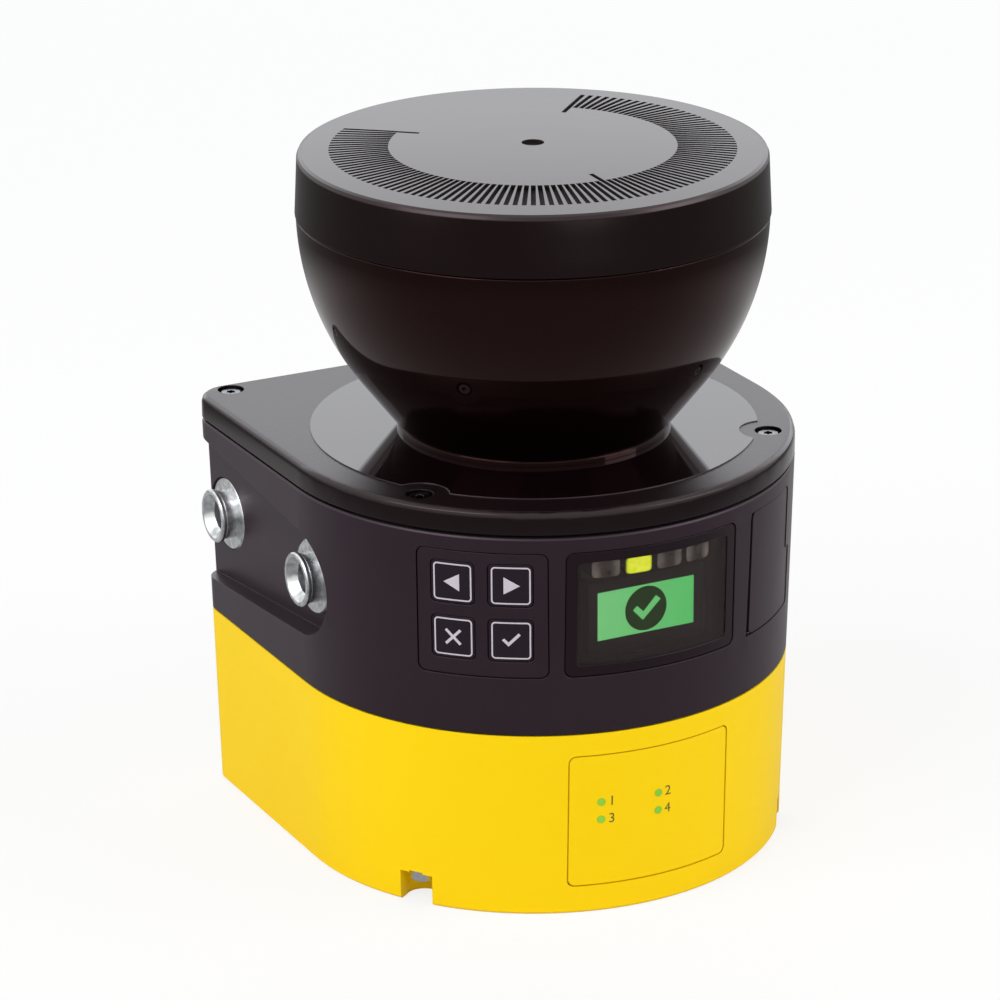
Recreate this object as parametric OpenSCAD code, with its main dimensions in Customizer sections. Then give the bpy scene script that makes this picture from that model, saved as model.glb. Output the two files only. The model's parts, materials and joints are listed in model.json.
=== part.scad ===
// Safety laser scanner: a D-shaped housing in two halves, a glossy scan head with a
// rotating mirror inside, a front panel with keys, a display and a service flap,
// and a connection module in a bay at the lower rear.
// Millimetres. X points right, seen from the front, Y backwards and Z up.
// The origin lies on the axis of the mirror, in the plane that the unit stands on.

/* [Housing] */
// Width over the cover plate
width = 112; // [110:0.5:114]
// Depth from the front of the cover plate to its rear face
depth = 111; // [109:0.5:113]
// Height of the lower housing
lower_height = 41.1; // [40:0.1:43]
// Height of the upper housing
upper_height = 43.9; // [43:0.1:45]
// Gap between the housings, filled by the seal
joint_gap = 0.3; // [0.2:0.05:0.5]
// Amount by which each side draws in from the cover plate to the floor
draft = 2.2; // [1.6:0.1:2.6]
// Radius of the rear corners of the cover plate
corner_radius = 7; // [6:0.5:8]
// Wall of the lower housing, measured at its top edge
lower_wall = 4.2; // [3.5:0.1:5]
// Wall of the upper housing, measured at its top edge
upper_wall = 6; // [5.5:0.1:6.5]
// Floor of the lower housing
floor_thickness = 3; // [2.5:0.1:4]

/* [Cover plate and scan head] */
// Thickness of the cover plate
plate_thickness = 5.3; // [4.5:0.1:6]
// Gap between the upper housing and the cover plate
plate_gap = 0.4; // [0.2:0.05:0.6]
// Width of the rounded upper edge of the cover plate
plate_edge = 1.6; // [0.8:0.1:2]
// Radius of the polished land round the neck
land_radius = 48; // [46:0.5:49]
// Outer radius of the neck where it meets the cover plate
neck_radius = 28; // [26.5:0.5:30]
// Outer radius of the bowl at its rim
bowl_radius = 50.1; // [48:0.1:52]
// Height of the centre of the bowl's curve above its rim
bowl_rise = 1; // [0.5:0.1:1.5]
// Height of the straight cone between the collar of the neck and the curve
cone_height = 10.95; // [9:0.05:13]
// Radius of the foot of that cone beyond the neck
cone_step = 1.03; // [0.9:0.01:1.2]
// Height of the bowl from the cover plate to its rim
bowl_height = 47.7; // [47:0.1:49]
// Wall of the bowl
bowl_wall = 2.2; // [1.8:0.1:2.6]
// Height of the top cap at its edge
cap_height = 12.9; // [12:0.1:14]
// Rise of the top cap from its edge to its middle
cap_crown = 1.4; // [0.8:0.1:2]
// Thickness of the top cap
cap_wall = 2.6; // [2.2:0.1:3.2]
// Angle that the scan field covers, in degrees
scan_angle = 275; // [250:5:280]
// Angle between two marks on the top cap, in degrees
mark_pitch = 2.5; // [2.5:0.5:10]
// Width of a mark
mark_width = 1; // [0.8:0.05:1.2]
// Depth of a mark
mark_depth = 0.5; // [0.3:0.05:0.8]

/* [Front panel] */
// Height of the keypad, the display and the service flap
panel_height = 27.4; // [26:0.1:28]
// Height of their middle above the floor
panel_z = 68.1; // [67.5:0.1:68.5]
// Gap round the keypad, the display and the service flap
panel_gap = 0.25; // [0.15:0.05:0.4]
// Width of the display
display_width = 39.6; // [38:0.1:41]
// Width of the keypad
keypad_width = 27.3; // [26.5:0.1:28]
// Distance between the display and the keypad along the face
keypad_gap = 4.1; // [3.5:0.1:5]
// Side length of a key
key_size = 9.2; // [8.5:0.1:9.6]
// Distance between the two columns of keys along the face
key_spread = 12.3; // [12.1:0.1:12.7]
// Distance between the two rows of keys
key_pitch = 12.2; // [12:0.1:12.6]
// Travel of a key
key_travel = 0.4; // [0.3:0.05:0.6]
// Distance between the display and the hinge of the service flap along the face
hinge_offset = 7.7; // [7.1:0.1:9]
// Width of the service flap from its hinge to its upper corner
flap_width = 17.5; // [16.5:0.1:18.5]
// Width of the grip at the lower half of the flap
grip_width = 2.6; // [2:0.1:3]

/* [Status panel] */
// Width of the status panel on the lower housing
status_width = 37.4; // [36:0.1:39]
// Height of the status panel
status_height = 29.6; // [28:0.1:30.5]
// Height of the middle of the status panel above the floor
status_z = 21.2; // [20.5:0.1:22]
// Radius of a status light
light_radius = 0.85; // [0.7:0.05:1]

/* [Mounting] */
// Height of the side bushings above the floor
bushing_z = 64.3; // [63.5:0.1:65]
// Distance of the front bushing behind the axis of the mirror
bushing_front_y = 1.9; // [1:0.1:3]
// Distance between the front and the rear bushing
bushing_pitch = 43.6; // [42:0.1:44]
// Radius of the threaded hole in a side bushing
side_thread_radius = 3.4; // [3.3:0.05:3.5]
// Distance between the rear inserts across the unit
insert_width = 72; // [68:1:72]
// Distance between the rear inserts up the unit
insert_height = 24; // [22:0.5:25]
// Radius of the threaded hole in a rear insert
rear_thread_radius = 2.1; // [2:0.05:2.2]

/* [Connection] */
// Width of the bay for the connection module
bay_width = 76; // [74:0.5:77]
// Height of the bay
bay_height = 34; // [33:0.5:35]
// Depth of the bay from the rear of the cover plate
bay_depth = 25.5; // [25:0.5:27]
// Distance between two connectors
connector_pitch = 24; // [23:0.5:25]
// Outer radius of the thread on the power connector
plug_thread_radius = 6; // [5.9:0.05:6.1]

/* [Hidden] */

$fn = 72;
black = [0.07, 0.065, 0.07];
dark = [0.16, 0.16, 0.17];
yellow = [0.98, 0.84, 0.02];
zinc = [0.78, 0.8, 0.82];
steel = [0.6, 0.6, 0.62];
board_green = [0.05, 0.3, 0.16];
eps = 0.01;      // overshoot of a cut that runs through a face
fit = 0.05;      // running fit, radial

// Heights of the main joints
half_w = width / 2;
rear_y = depth - half_w;
z_seam = lower_height;
z_upper = z_seam + joint_gap;
z_rim = z_upper + upper_height;
z_plate = z_rim + plate_gap;
z_top = z_plate + plate_thickness;
z_bowl = z_top + bowl_height;
cap_seam = 0.2;
z_cap = z_bowl + cap_seam;
z_cap_edge = z_cap + cap_height;

// How far the outside stands in from the cover plate's outline at a height
function inset(z) = draft * (1 - min(z, z_rim) / z_rim);
function face_radius(z) = half_w - inset(z);
draft_angle = atan(draft / z_rim);

// A profile is a list of [height, inset]. Each pair becomes a point at a radius of base - inset.
function profile_points(base, p) = concat(
    [[0, p[0][0]]], [for (q = p) [base - q[1], q[0]]], [[0, p[len(p) - 1][0]]]);
function mirrored_points(base, p) = concat(
    [for (q = p) [base - q[1], q[0]]], [for (i = [len(p) - 1:-1:0]) [p[i][1] - base, p[i][0]]]);
function rear_points(base, p) = concat(
    [[0, p[0][0]]], [for (q = p) [base - q[1], q[0]]], [[0, p[len(p) - 1][0]]]);

// Solid with the D-shaped plan of the unit: half round in front, rounded corners at the rear
module d_solid(p) {
    side_y = rear_y - corner_radius;
    side_x = half_w - corner_radius;
    rotate([0, 0, 180]) rotate_extrude(angle = 180, $fn = 144) polygon(profile_points(half_w, p));
    translate([0, side_y, 0]) rotate([90, 0, 0]) linear_extrude(side_y)
        polygon(mirrored_points(half_w, p));
    translate([-side_x, 0, 0]) rotate([90, 0, 90]) linear_extrude(2 * side_x)
        polygon(rear_points(rear_y, p));
    for (s = [-1, 1]) translate([s * side_x, side_y, 0])
        rotate_extrude() polygon(profile_points(corner_radius, p));
}

// Flat ring between two insets, for seals
module d_ring(z0, z1, outer, inner) {
    difference() {
        d_solid([[z0, outer], [z1, outer]]);
        d_solid([[z0 - 1, inner], [z1 + 1, inner]]);
    }
}

// Plate with rounded corners in the XY plane, centred
module rounded(w, h, r) {
    square([w - 2 * r, h], center = true);
    square([w, h - 2 * r], center = true);
    for (x = [-1, 1], y = [-1, 1]) translate([x * (w / 2 - r), y * (h / 2 - r)]) circle(r, $fn = 32);
}

// Block with rounded corners that faces outwards at an angle, from radius r0 to r1
module radial_block(angle, z, w, h, r, r0, r1) {
    rotate([0, 0, angle]) translate([0, -r0, z]) rotate([90, 0, 0])
        linear_extrude(r1 - r0) rounded(w, h, r);
}

// Everything inside the drafted front face, moved out by a distance
module face_cone(out) {
    cylinder(h = z_rim, r1 = face_radius(0) + out, r2 = face_radius(z_rim) + out, $fn = 144);
}

// Plate that follows the front face, from radius r0 to the face moved out by a distance
module face_plate(angle, z, w, h, r, r0, out) {
    intersection() {
        radial_block(angle, z, w, h, r, r0 - 8, half_w + 4);
        difference() {
            face_cone(out);
            translate([0, 0, -1]) cylinder(h = z_rim + 2, r = r0, $fn = 144);
        }
    }
}

// Ring of round bars standing on a height
module tube(r_in, r_out, z0, z1) {
    translate([0, 0, z0]) difference() {
        cylinder(h = z1 - z0, r = r_out);
        translate([0, 0, -1]) cylinder(h = z1 - z0 + 2, r = r_in);
    }
}

// Copies its child at each place of a list of [x, y]
module at(places) {
    for (p = places) translate([p[0], p[1], 0]) children();
}

// Columns that hold the cover plate, the housings and the base together
screw_clear = 2.35;
screw_inset = 5.66;
front_screw_angle = half_turn(display_width) + 2 * half_turn(keypad_width) + turn(keypad_gap + screw_clear);
front_screw_x = (half_w - screw_inset) * sin(front_screw_angle);
front_screw_y = -(half_w - screw_inset) * cos(front_screw_angle);
rear_screw_x = half_w - corner_radius - 0.5;
rear_screw_y = rear_y - 4.5;
cover_screw_places = [
    [-front_screw_x, front_screw_y], [front_screw_x, front_screw_y],
    [-rear_screw_x, rear_screw_y], [rear_screw_x, rear_screw_y]
];
base_rear_x = bay_width / 2 + 7.5;
base_rear_y = rear_y - 8.8;
base_screw_places = [
    [-front_screw_x, front_screw_y], [front_screw_x, front_screw_y],
    [-base_rear_x, base_rear_y], [base_rear_x, base_rear_y]
];
screw_angle = atan(front_screw_x / -front_screw_y);
screw_reach = norm([front_screw_x, front_screw_y]);
column_radius = 4;
cover_head_radius = 2.6;
cover_head_depth = 1.8;
cover_shank_radius = 1.3;
cover_screw_length = 12;
base_head_radius = 3.1;
base_head_height = 2.4;
base_shank_radius = 1.6;
pocket_top = 7.2;
notch_height = 6.8;
pocket_radius = 3.9;
base_screw_end = z_upper + 14;

// Cuts: side pocket for the bushings
side_pocket_radius = 12;
pocket_rise = 6;
pocket_drop = 4.4;
pocket_depth = 4.7;
pocket_turn = 1.9;
bushing_places = [bushing_front_y, bushing_front_y + bushing_pitch];
bushing_stand = 3.8;
bushing_flange_radius = 8.2;
bushing_collar_radius = 5.9;
bushing_flange = 2.2;
bushing_flange_x = half_w - bushing_stand;
bushing_back_x = half_w - 14;
rear_bushing_back_x = bushing_back_x + 0.6;
bushing_seats = [[bushing_places[0], bushing_back_x], [bushing_places[1], rear_bushing_back_x]];
side_thread_length = 9;
thread_lead = 2;
boss_x = half_w - 9.5;

module side_pocket() {
    function arm(a, side) = [side_pocket_radius * -sin(a), side_pocket_radius * side * cos(a)];
    reach = rear_y + 10;
    top = arm(pocket_rise, 1);
    low = arm(pocket_drop, -1);
    outline = [
        top, top + reach * [cos(pocket_rise), sin(pocket_rise)],
        low + reach * [cos(pocket_drop), -sin(pocket_drop)], low
    ];
    x_face = half_w - inset(bushing_z) - pocket_depth;
    translate([x_face, bushing_front_y, bushing_z]) rotate([0, draft_angle, 0])
        rotate([0, 0, -pocket_turn]) rotate([90, 0, 90]) linear_extrude(12) {
            circle(side_pocket_radius);
            polygon(outline);
        }
}

module both_sides() {
    children();
    mirror([1, 0, 0]) children();
}

// Front panel: radii of its recesses
recess_radius = half_w - 3.4;
panel_radius = recess_radius + 0.1;
flap_inner = recess_radius + 0.7;
opening_radius = half_w - upper_wall - 3;
display_h = panel_height;
keypad_opening_w = keypad_width - 3.7;
keypad_opening_h = panel_height - 2.2;
display_opening_w = display_width - 8.6;
display_opening_h = panel_height - 3.8;

// Angle that a distance along the face takes, and half the angle behind a flat width
function turn(distance) = distance / half_w * 180 / PI;
function half_turn(w) = asin(w / 2 / half_w);
keypad_angle = -half_turn(display_width) - half_turn(keypad_width) - turn(keypad_gap);
flap_hinge_angle = half_turn(display_width) + turn(hinge_offset);
key_columns = [-turn(key_spread) / 2, turn(key_spread) / 2];
hinge_radius = half_w - 2;
barrel_radius = 0.95;
hinge_edge = 1.25;
hinge_gap = 1.1;
hinge_sweep = 2.7;
pin_radius = 0.5;
hinge_x = hinge_radius * sin(flap_hinge_angle);
hinge_y = -hinge_radius * cos(flap_hinge_angle);
flap_middle = flap_hinge_angle + (flap_width / 2) / hinge_radius * 180 / PI;
flap_corner = 1.4;
flap_height = panel_height;
grip_height = 13;
socket_angle = flap_middle;
socket_z = panel_z - 2;
socket_w = 8.2;
socket_h = 4.6;
display_recess_y = -(half_w - 2.2);

// Rear inserts
insert_z = (z_upper + z_rim) / 2 - 2;
insert_radius = 4;
insert_length = 9;
insert_face_y = rear_y - draft;
insert_places = [for (x = [-1, 1], z = [-1, 1]) [x * insert_width / 2, z * insert_height / 2]];

// Lower housing
bay_y = rear_y - bay_depth;
bay_wall = 2.4;
status_radius = half_w - 4.2;

module lower_housing() color(yellow) difference() {
    union() {
        difference() {
            d_solid([[0, inset(0) + 0.5], [0.5, inset(0.5)], [z_seam, inset(z_seam)]]);
            d_solid([[floor_thickness, lower_wall + draft / 2], [z_seam + 1, lower_wall + draft / 2]]);
        }
        intersection() {
            d_solid([[0.5, inset(0) + 1], [z_seam, inset(z_seam) + 1]]);
            union() {
                at(base_screw_places) cylinder(h = z_seam, r = column_radius);
                at([for (i = [0, 1]) base_screw_places[i]]) cylinder(h = pocket_top + 2, r = pocket_radius + 1.8);
            }
        }
        bay_shell();
    }
    bay();
    at(base_screw_places) {
        translate([0, 0, -1]) cylinder(h = pocket_top + 1, r = pocket_radius);
        cylinder(h = z_seam + 1, r = base_shank_radius);
    }
    for (s = [-1, 1]) rotate([0, 0, s * screw_angle])
        translate([-pocket_radius + 0.1, -half_w - 1, -1])
            cube([2 * pocket_radius - 0.2, half_w + 1 - screw_reach, notch_height + 1]);
    face_plate(0, status_z, status_width + 0.5, status_height + 0.5, 1.6, status_radius, 2);
    for (p = light_places) translate([p[0], 0, p[1]]) rotate([90, 0, 0])
        cylinder(h = half_w, r = light_radius);
}

module bay_shell() {
    translate([-bay_width / 2 - bay_wall, bay_y - bay_wall, 0.5])
        cube([bay_width + 2 * bay_wall, bay_depth - draft - 1, bay_height + bay_wall - 0.5]);
}

// The bay and the opening in its front wall for the module's plug
module bay() {
    translate([-bay_width / 2, bay_y, -1]) cube([bay_width, bay_depth + 5, bay_height + 1]);
    translate([-module_plug_w / 2, bay_y - bay_wall - 1, module_plug_z - module_plug_h / 2])
        cube([module_plug_w, bay_wall + 2, module_plug_h]);
}

module upper_housing() color(black) difference() {
    union() {
        difference() {
            d_solid([[z_upper, inset(z_upper)], [z_rim - 0.4, inset(z_rim)], [z_rim, inset(z_rim) + 0.4]]);
            d_solid([[z_upper - 1, upper_wall], [z_rim + 1, upper_wall]]);
        }
        intersection() {
            d_solid([[z_upper, inset(z_upper) + 1], [z_rim, inset(z_rim) + 1]]);
            union() {
                both_sides() translate([boss_x, bushing_front_y - side_pocket_radius - 3, bushing_z - 17])
                    cube([upper_wall, rear_y - bushing_front_y + side_pocket_radius + 3, 34]);
                both_sides() for (y = bushing_places) translate([bushing_back_x - 1.5, y, bushing_z])
                    rotate([0, 90, 0]) cylinder(h = 10, r = bushing_collar_radius + 1.9);
                for (p = insert_places) translate([p[0], rear_y - 1, insert_z + p[1]])
                    rotate([90, 0, 0]) cylinder(h = insert_length + draft, r = insert_radius + 2);
                at([for (i = [2, 3]) base_screw_places[i]]) translate([0, 0, z_upper])
                    cylinder(h = base_screw_end - z_upper + 2, r = column_radius);
                at([for (i = [0, 1]) cover_screw_places[i]]) translate([0, 0, z_upper])
                    cylinder(h = upper_height, r = column_radius);
            }
        }
    }
    both_sides() side_pocket();
    both_sides() for (s = bushing_seats) translate([0, s[0], bushing_z]) rotate([0, 90, 0]) {
        translate([0, 0, s[1]]) cylinder(h = 20, r = bushing_collar_radius);
        translate([0, 0, bushing_flange_x - bushing_flange]) cylinder(h = 10, r = bushing_flange_radius);
    }
    for (p = insert_places) translate([p[0], 0, insert_z + p[1]]) rotate([-90, 0, 0])
        translate([0, 0, insert_face_y - insert_length]) cylinder(h = 20, r = insert_radius);
    at(cover_screw_places) translate([0, 0, z_rim - cover_screw_length])
        cylinder(h = cover_screw_length + 1, r = cover_shank_radius);
    at(base_screw_places) translate([0, 0, z_upper - 1])
        cylinder(h = base_screw_end - z_upper + 1, r = base_shank_radius);
    front_recesses();
}

// Recesses for the keypad, the display and the service flap, with the openings behind them
module front_recesses() {
    face_plate(keypad_angle, panel_z, keypad_width + 2 * panel_gap, panel_height + 2 * panel_gap, 1.8,
        recess_radius, 2);
    radial_block(keypad_angle, panel_z, keypad_opening_w, keypad_opening_h, 1, opening_radius, half_w);
    face_plate(0, panel_z, display_width + 2 * panel_gap, display_h + 2 * panel_gap, 1.8, recess_radius, 2);
    radial_block(0, panel_z, display_opening_w, display_opening_h, 1, opening_radius, half_w);
    flap_outline(panel_gap, hinge_edge + hinge_gap, recess_radius, 2);
    translate([hinge_x, hinge_y, panel_z - flap_height / 2 - panel_gap + 0.02])
        cylinder(h = flap_height + 2 * panel_gap - 0.04, r = hinge_sweep);
    translate([hinge_x, hinge_y, panel_z - flap_height / 2 - 2]) cylinder(h = flap_height + 4, r = pin_radius);
    radial_block(socket_angle, socket_z, socket_w + 0.02, socket_h + 0.02, 1, opening_radius, half_w);
}

// Points of a rounded corner, anticlockwise from the direction a
function corner(x, y, r, a) = [for (i = [0:5]) [x + r * cos(a + 18 * i), y + r * sin(a + 18 * i)]];

// Plate of the service flap, from its left edge to the right, wider at its grip.
// left is the width to the left of the hinge axis, gap the clearance on the other sides.
module flap_outline(gap, left, r0, out) {
    x0 = -flap_width / 2 - left;
    x1 = flap_width / 2 + gap;
    x2 = x1 + grip_width;
    low = -flap_height / 2 - gap;
    step = low + grip_height + 2 * gap;
    r = flap_corner + gap;
    outline = concat(
        corner(x2 - 1, low + 1, 1, -90), corner(x2 - 1, step - 1, 1, 0), [[x1, step]],
        corner(x1 - r, -low - r, r, 0), corner(x0 + r, -low - r, r, 90), corner(x0 + r, low + r, r, 180));
    intersection() {
        rotate([0, 0, flap_middle]) translate([0, -20, panel_z]) rotate([90, 0, 0])
            linear_extrude(half_w - 16) polygon(outline);
        difference() {
            face_cone(out);
            translate([0, 0, -1]) cylinder(h = z_rim + 2, r = r0, $fn = 144);
        }
    }
}

// Seal between the housings, set in from the outside so that a fine shadow line shows
module housing_seal() color(dark) difference() {
    d_ring(z_seam, z_upper, inset(z_seam) + 0.8, lower_wall + draft / 2 - 0.4);
    at(base_screw_places) translate([0, 0, z_seam - 1]) cylinder(h = 3, r = base_shank_radius);
}

module cover_seal() color(dark) difference() {
    d_ring(z_rim, z_plate, 1.2, upper_wall - 0.5);
    at(cover_screw_places) translate([0, 0, z_rim - 1]) cylinder(h = 3, r = cover_shank_radius);
}

land_height = 0.2;
foot_radius = neck_radius + 0.1;
module cover_plate() color(dark) difference() {
    union() {
        d_solid([[z_plate, 0.5], [z_plate + 0.4, 0], [z_top - plate_edge, 0],
            [z_top - plate_edge * 0.4, plate_edge * 0.18], [z_top - plate_edge * 0.1, plate_edge * 0.55],
            [z_top, plate_edge]]);
        difference() {
            translate([0, 0, z_top - 1]) cylinder(h = 1 + land_height, r = land_radius, $fn = 144);
            at(cover_screw_places) translate([0, 0, z_top]) cylinder(h = 1, r = 6.2);
        }
    }
    translate([0, 0, z_plate - 1]) cylinder(h = plate_thickness + 3, r = foot_radius, $fn = 144);
    at(cover_screw_places) {
        translate([0, 0, z_plate - 1]) cylinder(h = 10, r = cover_shank_radius);
        translate([0, 0, z_top - cover_head_depth - 0.5]) cylinder(h = 5, r = cover_head_radius + 0.3);
    }
}

// Pan-head screws with a six-lobe recess, in the corners of the cover plate
module cover_screws() color(zinc) at(cover_screw_places) difference() {
    union() {
        translate([0, 0, z_rim - cover_screw_length])
            cylinder(h = z_top - cover_head_depth - 0.5 - z_rim + cover_screw_length, r = cover_shank_radius);
        translate([0, 0, z_top - cover_head_depth - 0.5])
            cylinder(h = cover_head_depth - 0.5, r = cover_head_radius);
        translate([0, 0, z_top - 1]) cylinder(h = 0.5, r1 = cover_head_radius, r2 = cover_head_radius - 0.5);
    }
    six_lobe(z_top - 1.7, 0.8);
}

module six_lobe(z, r) translate([0, 0, z]) {
    cylinder(h = 2, r = r);
    for (i = [0:5]) rotate([0, 0, 60 * i]) translate([r, 0, 0]) cylinder(h = 2, r = r * 0.32, $fn = 16);
}

module base_screws() color(zinc) at(base_screw_places) difference() {
    union() {
        translate([0, 0, pocket_top - base_head_height]) cylinder(h = base_head_height, r = base_head_radius);
        translate([0, 0, pocket_top - 1]) cylinder(h = base_screw_end - pocket_top, r = base_shank_radius);
    }
    six_lobe(pocket_top - base_head_height - 0.5, 0.9);
}

// Optics cover: one clear-to-infrared moulding of bowl, cone and foot
// The curve of the bowl ends cone_height above the collar, in a cone down to its foot.
// With t the tangent of half the slope: width = arc_height * t + cone_height * 2t / (1 - t^2),
// which is solved by putting t back in.
collar_h = 1;
collar_top = z_top + land_height + collar_h;
arc_height = z_bowl + bowl_rise - collar_top - cone_height;
cone_width = bowl_radius - neck_radius - cone_step;
function half_slope(t, n) = n == 0 ? t
    : half_slope(cone_width / (arc_height + 2 * cone_height / (1 - t * t)), n - 1);
bowl_slope = 2 * atan(half_slope(0.35, 30));
bowl_curve = arc_height / sin(bowl_slope);
function arc_r(a, t) = bowl_radius - bowl_curve + (bowl_curve - t) * cos(a);
function arc_z(a, t) = z_bowl + bowl_rise - (bowl_curve - t) * sin(a);
function arc_start(t) = asin(bowl_rise / (bowl_curve - t));
arc_steps = 12;
function arc_angle(i, t) = arc_start(t) + i * (bowl_slope - arc_start(t)) / arc_steps;
function bowl_arc(t) = [for (i = [0:arc_steps]) [arc_r(arc_angle(i, t), t), arc_z(arc_angle(i, t), t)]];
// The straight part of the cone, continued from the end of the arc down to a height
function cone_r(z, t) = arc_r(bowl_slope, t) - (arc_z(bowl_slope, t) - z) * tan(bowl_slope);
foot_z = z_plate - 2.4;
foot_outer = neck_radius + 3.6;
foot_inner = neck_radius - bowl_wall;
inner_turn_z = z_top + (foot_inner - cone_r(z_top, bowl_wall)) / tan(bowl_slope);
module optics_cover() color(black) rotate_extrude($fn = 144) polygon(concat(
    bowl_arc(0),
    [[cone_r(z_top + collar_h + land_height, 0), z_top + collar_h + land_height],
     [neck_radius + 1.4, z_top + collar_h + land_height], [neck_radius + 1.4, z_top + land_height],
     [neck_radius, z_top + land_height],
     [neck_radius, z_plate], [foot_outer, z_plate], [foot_outer, foot_z], [foot_inner, foot_z],
     [foot_inner, inner_turn_z]],
    [for (i = [arc_steps:-1:0]) bowl_arc(bowl_wall)[i]]));

// Ring seal round the neck, in the hole of the cover plate
module neck_seal() color(dark) tube(neck_radius, foot_radius, z_plate + 0.5, z_top - 0.5);

clamp_r0 = 21;
clamp_r1 = foot_outer + 4.4;
clamp_z = foot_z - 3;
clamp_places = [for (a = [0, 90, 180, 270]) [(foot_outer + 2.1) * cos(a + 45), (foot_outer + 2.1) * sin(a + 45)]];
module clamp_ring() color(steel) {
    tube(clamp_r0, clamp_r1, clamp_z, foot_z);
    at(clamp_places) translate([0, 0, foot_z - 1]) cylinder(h = z_plate - foot_z + 1, r = 1.8);
}

// Top cap: a shallow crowned lid with the field marks cut into its top
cap_top_radius = bowl_radius - 0.4;
cap_low_radius = bowl_radius + 0.2;
cap_spigot = bowl_radius - bowl_wall - 0.3;
function crown(r) = z_cap_edge + cap_crown * (1 - pow(r / cap_top_radius, 2));
mark_inner = 30.4;
mark_outer = 42.9;
long_mark_inner = 25.6;
mark_count = floor(scan_angle / mark_pitch / 2);
post_radius = 4;
post_reach = 36;
post_places = [for (a = [30, 150, 270]) [post_reach * cos(a), post_reach * sin(a)]];
module top_cap() color(dark) difference() {
    union() {
        rotate_extrude($fn = 144) polygon(concat(
            [[0, crown(0)], [14, crown(14)], [24, crown(24)], [34, crown(34)], [44, crown(44)],
             [cap_top_radius - 1, crown(cap_top_radius - 1)], [cap_top_radius - 0.3, z_cap_edge - 0.25],
             [cap_top_radius, z_cap_edge - 0.9], [cap_low_radius, z_cap],
             [cap_spigot, z_cap], [cap_spigot, z_cap - 2.4], [cap_spigot - 2, z_cap - 2.4],
             [cap_spigot - 2, z_cap_edge - cap_wall], [0, z_cap_edge - cap_wall]]));
        at(post_places) translate([0, 0, board_top_z]) cylinder(h = z_cap_edge - board_top_z - 1, r = post_radius);
    }
    for (i = [-mark_count:mark_count]) field_mark(i * mark_pitch, mark_inner);
    for (a = [-scan_angle / 2, 0, scan_angle / 2]) field_mark(a, long_mark_inner);
    translate([0, 0, crown(0) - 1]) cylinder(h = 3, r = 2.4);
}

// One straight mark at an angle from the front
module field_mark(a, r0) rotate([0, 0, a]) translate([-mark_width / 2, -mark_outer, 0])
    translate([0, 0, crown(mark_outer) - mark_depth]) cube([mark_width, mark_outer - r0, 5]);

module cap_seal() color(dark) tube(bowl_radius - bowl_wall, bowl_radius - 0.8, z_bowl, z_cap);

// Side bushings: zinc-plated, a collar with a lip on a wide flange, threaded through
module bushing(back_x) difference() {
    rotate([0, 90, 0]) rotate_extrude() polygon([
        [0, back_x], [bushing_collar_radius, back_x],
        [bushing_collar_radius, bushing_flange_x - bushing_flange],
        [bushing_flange_radius, bushing_flange_x - bushing_flange],
        [bushing_flange_radius, bushing_flange_x - 0.4], [bushing_flange_radius - 0.4, bushing_flange_x],
        [bushing_collar_radius - 0.5, bushing_flange_x], [bushing_collar_radius - 0.5, half_w - 1.4],
        [bushing_collar_radius, half_w - 1], [bushing_collar_radius, half_w - 0.3],
        [bushing_collar_radius - 0.3, half_w], [0, half_w]]);
    rotate([0, 90, 0]) {
        translate([0, 0, half_w - side_thread_length]) cylinder(h = side_thread_length + 1, r = side_thread_radius);
        translate([0, 0, half_w - thread_lead]) cylinder(h = thread_lead + eps, r1 = side_thread_radius, r2 = side_thread_radius + 1.5);
    }
}
module bushings_right() color(zinc) for (s = bushing_seats) translate([0, s[0], bushing_z]) bushing(s[1]);
module bushings_left() color(zinc) mirror([1, 0, 0]) for (s = bushing_seats) translate([0, s[0], bushing_z]) bushing(s[1]);

module rear_inserts() color(zinc) for (p = insert_places)
    translate([p[0], insert_face_y, insert_z + p[1]]) rotate([90, 0, 0]) difference() {
        cylinder(h = insert_length, r = insert_radius);
        translate([0, 0, -1]) cylinder(h = insert_length, r = rear_thread_radius);
    }

// Keypad
key_rows = [panel_z + 0.6 + key_pitch / 2, panel_z + 0.6 - key_pitch / 2];
key_back = panel_radius - 1.2;
key_gap = 0.2;
mat_thickness = 0.8;
module keypad_panel() color(black) difference() {
    face_plate(keypad_angle, panel_z, keypad_width, panel_height, 1.6, panel_radius, -0.15);
    for (c = key_columns, z = key_rows) radial_block(keypad_angle + c, z, key_size + 2 * key_gap,
        key_size + 2 * key_gap, 1.2, panel_radius - 3, half_w);
}

module key(c, z) color(black) {
    face_plate(keypad_angle + c, z, key_size, key_size, 1, panel_radius - 0.5, -0.25);
    intersection() {
        radial_block(keypad_angle + c, z, key_size + 0.9, key_size + 0.9, 1, key_back - 2, half_w);
        tube(key_back, panel_radius - 0.35, z - key_size, z + key_size);
    }
}
module key_left() key(key_columns[0], key_rows[0]);
module key_right() key(key_columns[1], key_rows[0]);
module key_cancel() key(key_columns[0], key_rows[1]);
module key_confirm() key(key_columns[1], key_rows[1]);

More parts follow.
